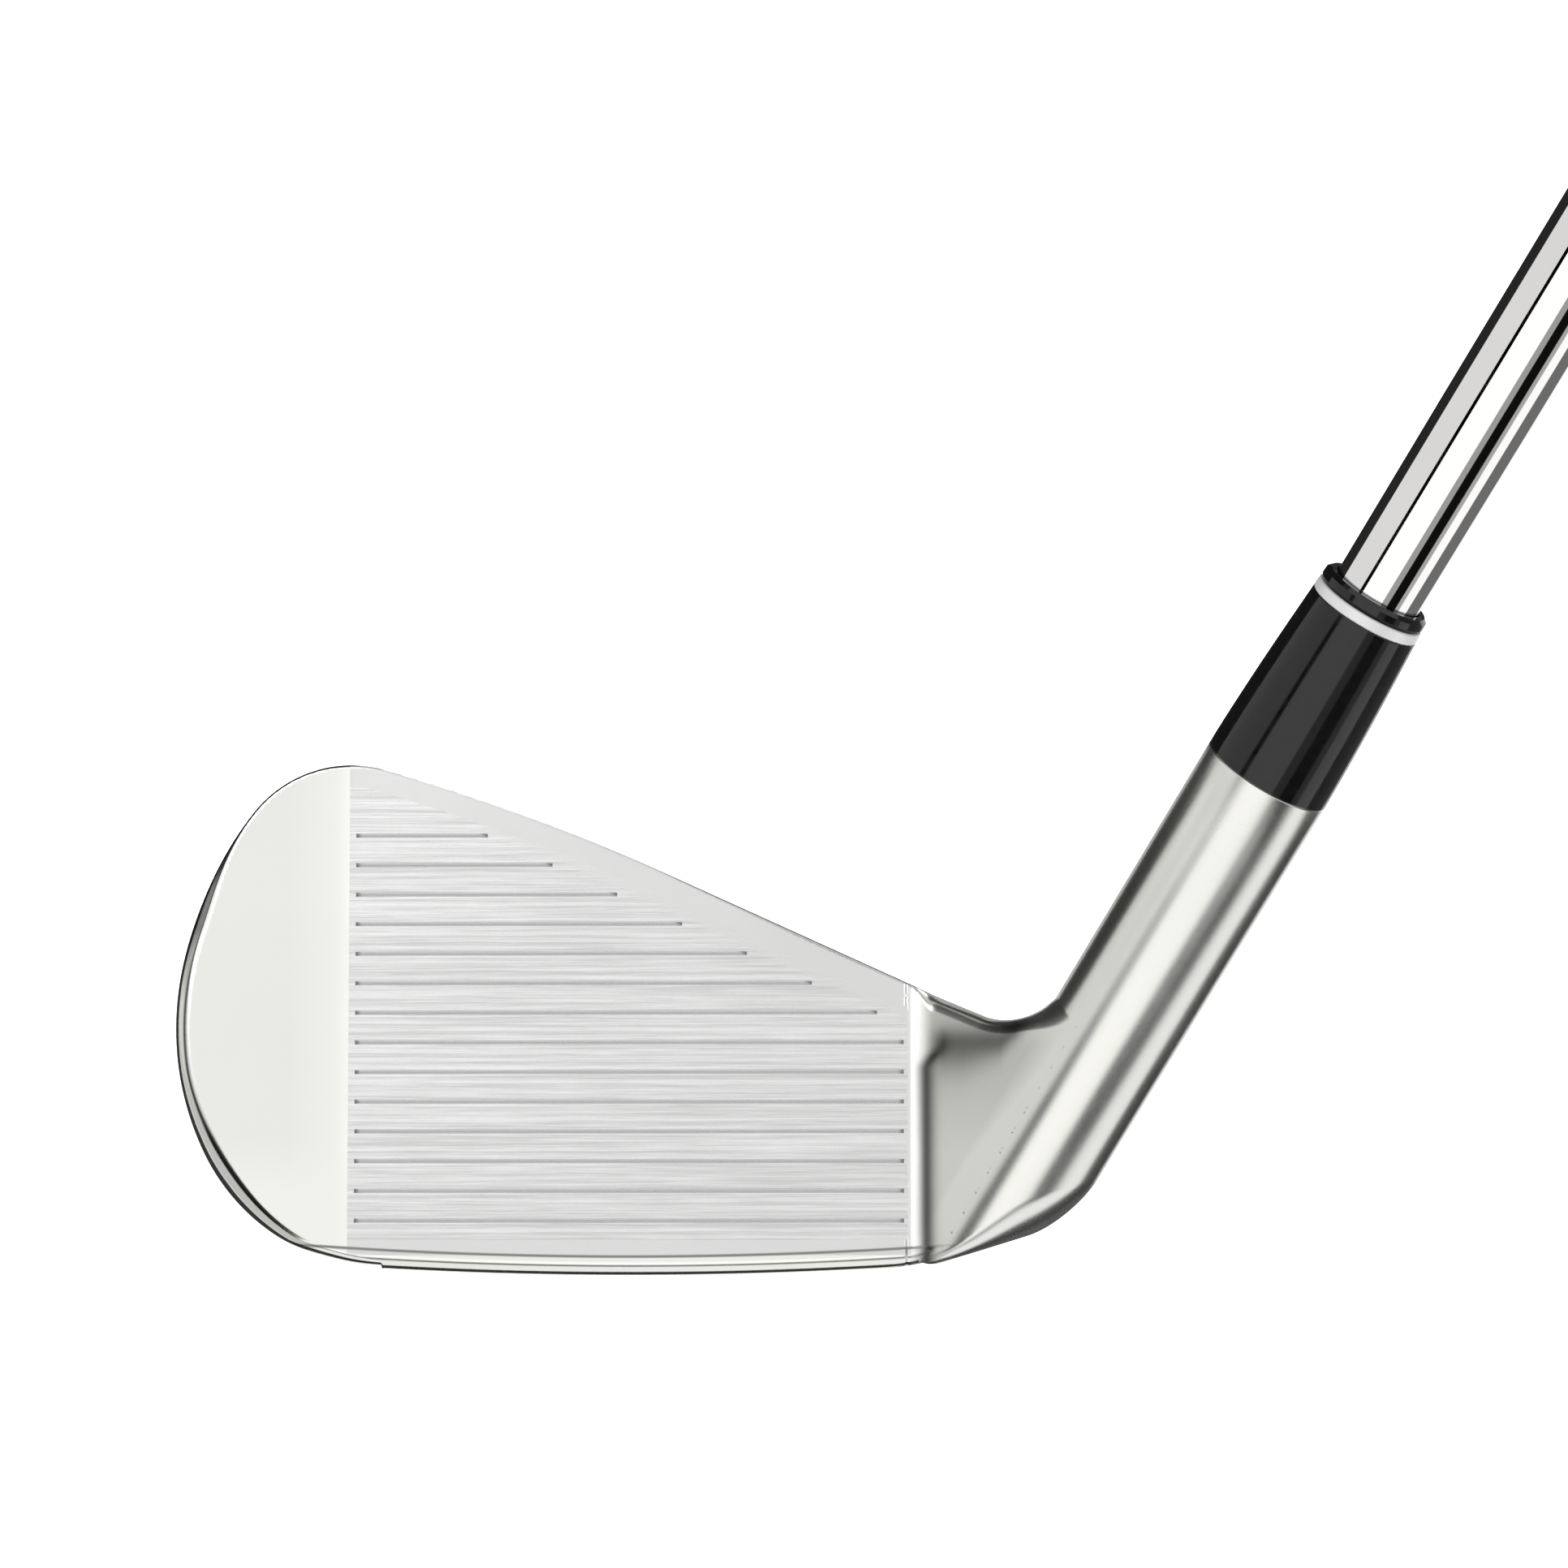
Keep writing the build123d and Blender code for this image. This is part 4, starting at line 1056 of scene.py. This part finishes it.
def ring_card(name, inner, outer, first, last, tone, distance=900, middle=(0, 18), steps=24):
    """Part of a ring round the face's outward direction, seen from a middle point of the face. Its half
    angles are inner and outer, each a pair of degrees at the start and end of a sweep counted from the heel
    up over the top line."""
    points = []
    for half in (inner, outer):
        for i in range(steps + 1):
            turn = radians(first + (last - first) * i / steps)
            lean = radians(half[0] + (half[1] - half[0]) * i / steps)
            across = cos(turn) * np.array([1, 0, 0]) + sin(turn) * FACE_UP
            points.append(from_face(*middle, 0) + distance * (cos(lean) * FACE_NORMAL + sin(lean) * across))
    row = steps + 1
    glossy_only(name, points, [(i, i + 1, row + i + 1, row + i) for i in range(steps)], tone)


def strip_card(name, low, high, first, last, distance, tone):
    """A card that shows on the shaft or hosel between two heights, across part of its width from -1 to 1, as
    seen from the eye."""
    corners = []
    for height, place in ((low, first), (low, last), (high, last), (high, first)):
        point = AXIS_FOOT + height * AXIS
        to_eye = (eye - point) / np.linalg.norm(eye - point)
        straight = to_eye - (to_eye @ AXIS) * AXIS
        straight /= np.linalg.norm(straight)
        normal = cos(asin(place)) * straight + place * np.cross(AXIS, straight)
        corners.append(point + distance * (2 * (normal @ to_eye) * normal - to_eye))
    glossy_only(name, corners, [(0, 1, 2, 3)], tone)


def flag(name, first, last, tone, distance=700):
    """A long card beside the shaft, between two directions round it in degrees, with 90 to the back."""
    corners = []
    for height, turn in ((-300, first), (-300, last), (1300, last), (1300, first)):
        out = cos(radians(turn)) * AXIS_SIDE + sin(radians(turn)) * AXIS_BACK
        corners.append(AXIS_FOOT + height * AXIS + distance * out)
    glossy_only(name, corners, [(0, 1, 2, 3)], tone)


def build_cards():
    """Cards round the head's rim, in front of the hosel and the shaft, and along the shaft's back."""
    ring_card("ring_toe_dark", (30, 30), (60, 58), 200, 236, 0.0, 160, (-30, 20))

    # name, inner and outer half angles, start and end of the sweep, tone
    rings = (
        ("ring_toe_grey", (58, 50), (97, 97), 165, 245, 0.62),
        ("ring_up_dark", (60, 60), (150, 104), 96, 158, 0.08),
        ("ring_crotch_edge", (138, 138), (178, 178), 50, 96, 0.05),
        ("ring_toe_edge", (102, 102), (150, 150), 95, 240, 0.04),
        ("ring_sole_line", (48, 52), (60, 64), 240, 284, 0.25),
        ("ring_heel_line", (52, 62), (66, 84), 284, 330, 0.02),
        ("ring_sole_edge", (100, 112), (142, 140), 240, 335, 0.03),
        ("ring_heel_edge", (136, 136), (178, 178), 280, 330, 0.10),
    )
    for ring in rings:
        ring_card(*ring)

    # name, lowest height, first and last place across, distance, tone
    hosel_strips = (
        ("hosel_side", -15, -0.74, -0.36, 600, 0.80),
        ("hosel_line", -15, -0.36, -0.22, 605, 0.42),
        ("hosel_front", -15, -0.22, 0.22, 600, 1.25),
        ("hosel_dark", 15, 0.26, 0.53, 600, 0.0),
        ("hosel_low", 15, 0.79, 0.92, 600, 0.05),
    )
    for name, low, first, last, distance, tone in hosel_strips:
        strip_card(name, low, 66, first, last, distance, tone)

    # name, last place across, tone, each strip starting where the one before it stops
    shaft_strips = (
        ("shaft_rim", -0.78, 0.02),
        ("shaft_side", -0.345, 0.745),
        ("shaft_line", -0.275, 0.0),
        ("shaft_front", 0.19, 1.1),
        ("shaft_fade", 0.31, 0.35),
        ("shaft_dark", 0.49, 0.005),
        ("shaft_soft", 0.57, 0.4),
        ("shaft_low", 0.73, 1.05),
        ("shaft_edge", 0.95, 0.16),
    )
    first = -0.99
    for name, last, tone in shaft_strips:
        strip_card(name, 66, 175, first, last, 60, tone)
        first = last

    flag("flag_heel_side", 12, 44, 0.03)
    flag("flag_toe_side", 136, 166, 0.03)
    flag("flag_behind", 84, 108, 0.55)


def soft_light(name, place, target, size, power):
    """A large square area light aimed at a point, lengths in millimetres."""
    data = bpy.data.lights.new(name, "AREA")
    data.shape = "RECTANGLE"
    data.size = data.size_y = size / 1000
    data.energy = power
    lamp = bpy.data.objects.new(name, data)
    bpy.context.scene.collection.objects.link(lamp)
    lamp.location = Vector(place) / 1000
    lamp.rotation_euler = (Vector(target) - Vector(place)).to_track_quat("-Z", "Y").to_euler()


def build_camera():
    """A long lens that looks almost square to the face."""
    back = Vector(eye - from_face(*AIM_UV, 0)).normalized()
    right = Vector(FACE_UP).cross(back).normalized()
    data = bpy.data.cameras.new("camera")
    data.lens = CAMERA_LENS
    data.sensor_width = 36
    data.clip_start = 0.02
    camera = bpy.data.objects.new("camera", data)
    bpy.context.scene.collection.objects.link(camera)
    turn = Matrix((right, back.cross(right), back)).transposed().to_4x4()
    camera.matrix_world = Matrix.Translation(Vector(eye) / 1000) @ turn
    bpy.context.scene.camera = camera


eye = from_face(*EYE_UV, CAMERA_DISTANCE)
build_floor()
build_cards()
soft_light("key", (-900, -1300, 1500), (100, 0, 150), 1200, 14)
soft_light("back", (900, 1300, 1300), (250, 0, 400), 1200, 12)
build_camera()
bpy.context.scene.view_settings.view_transform = "Standard"
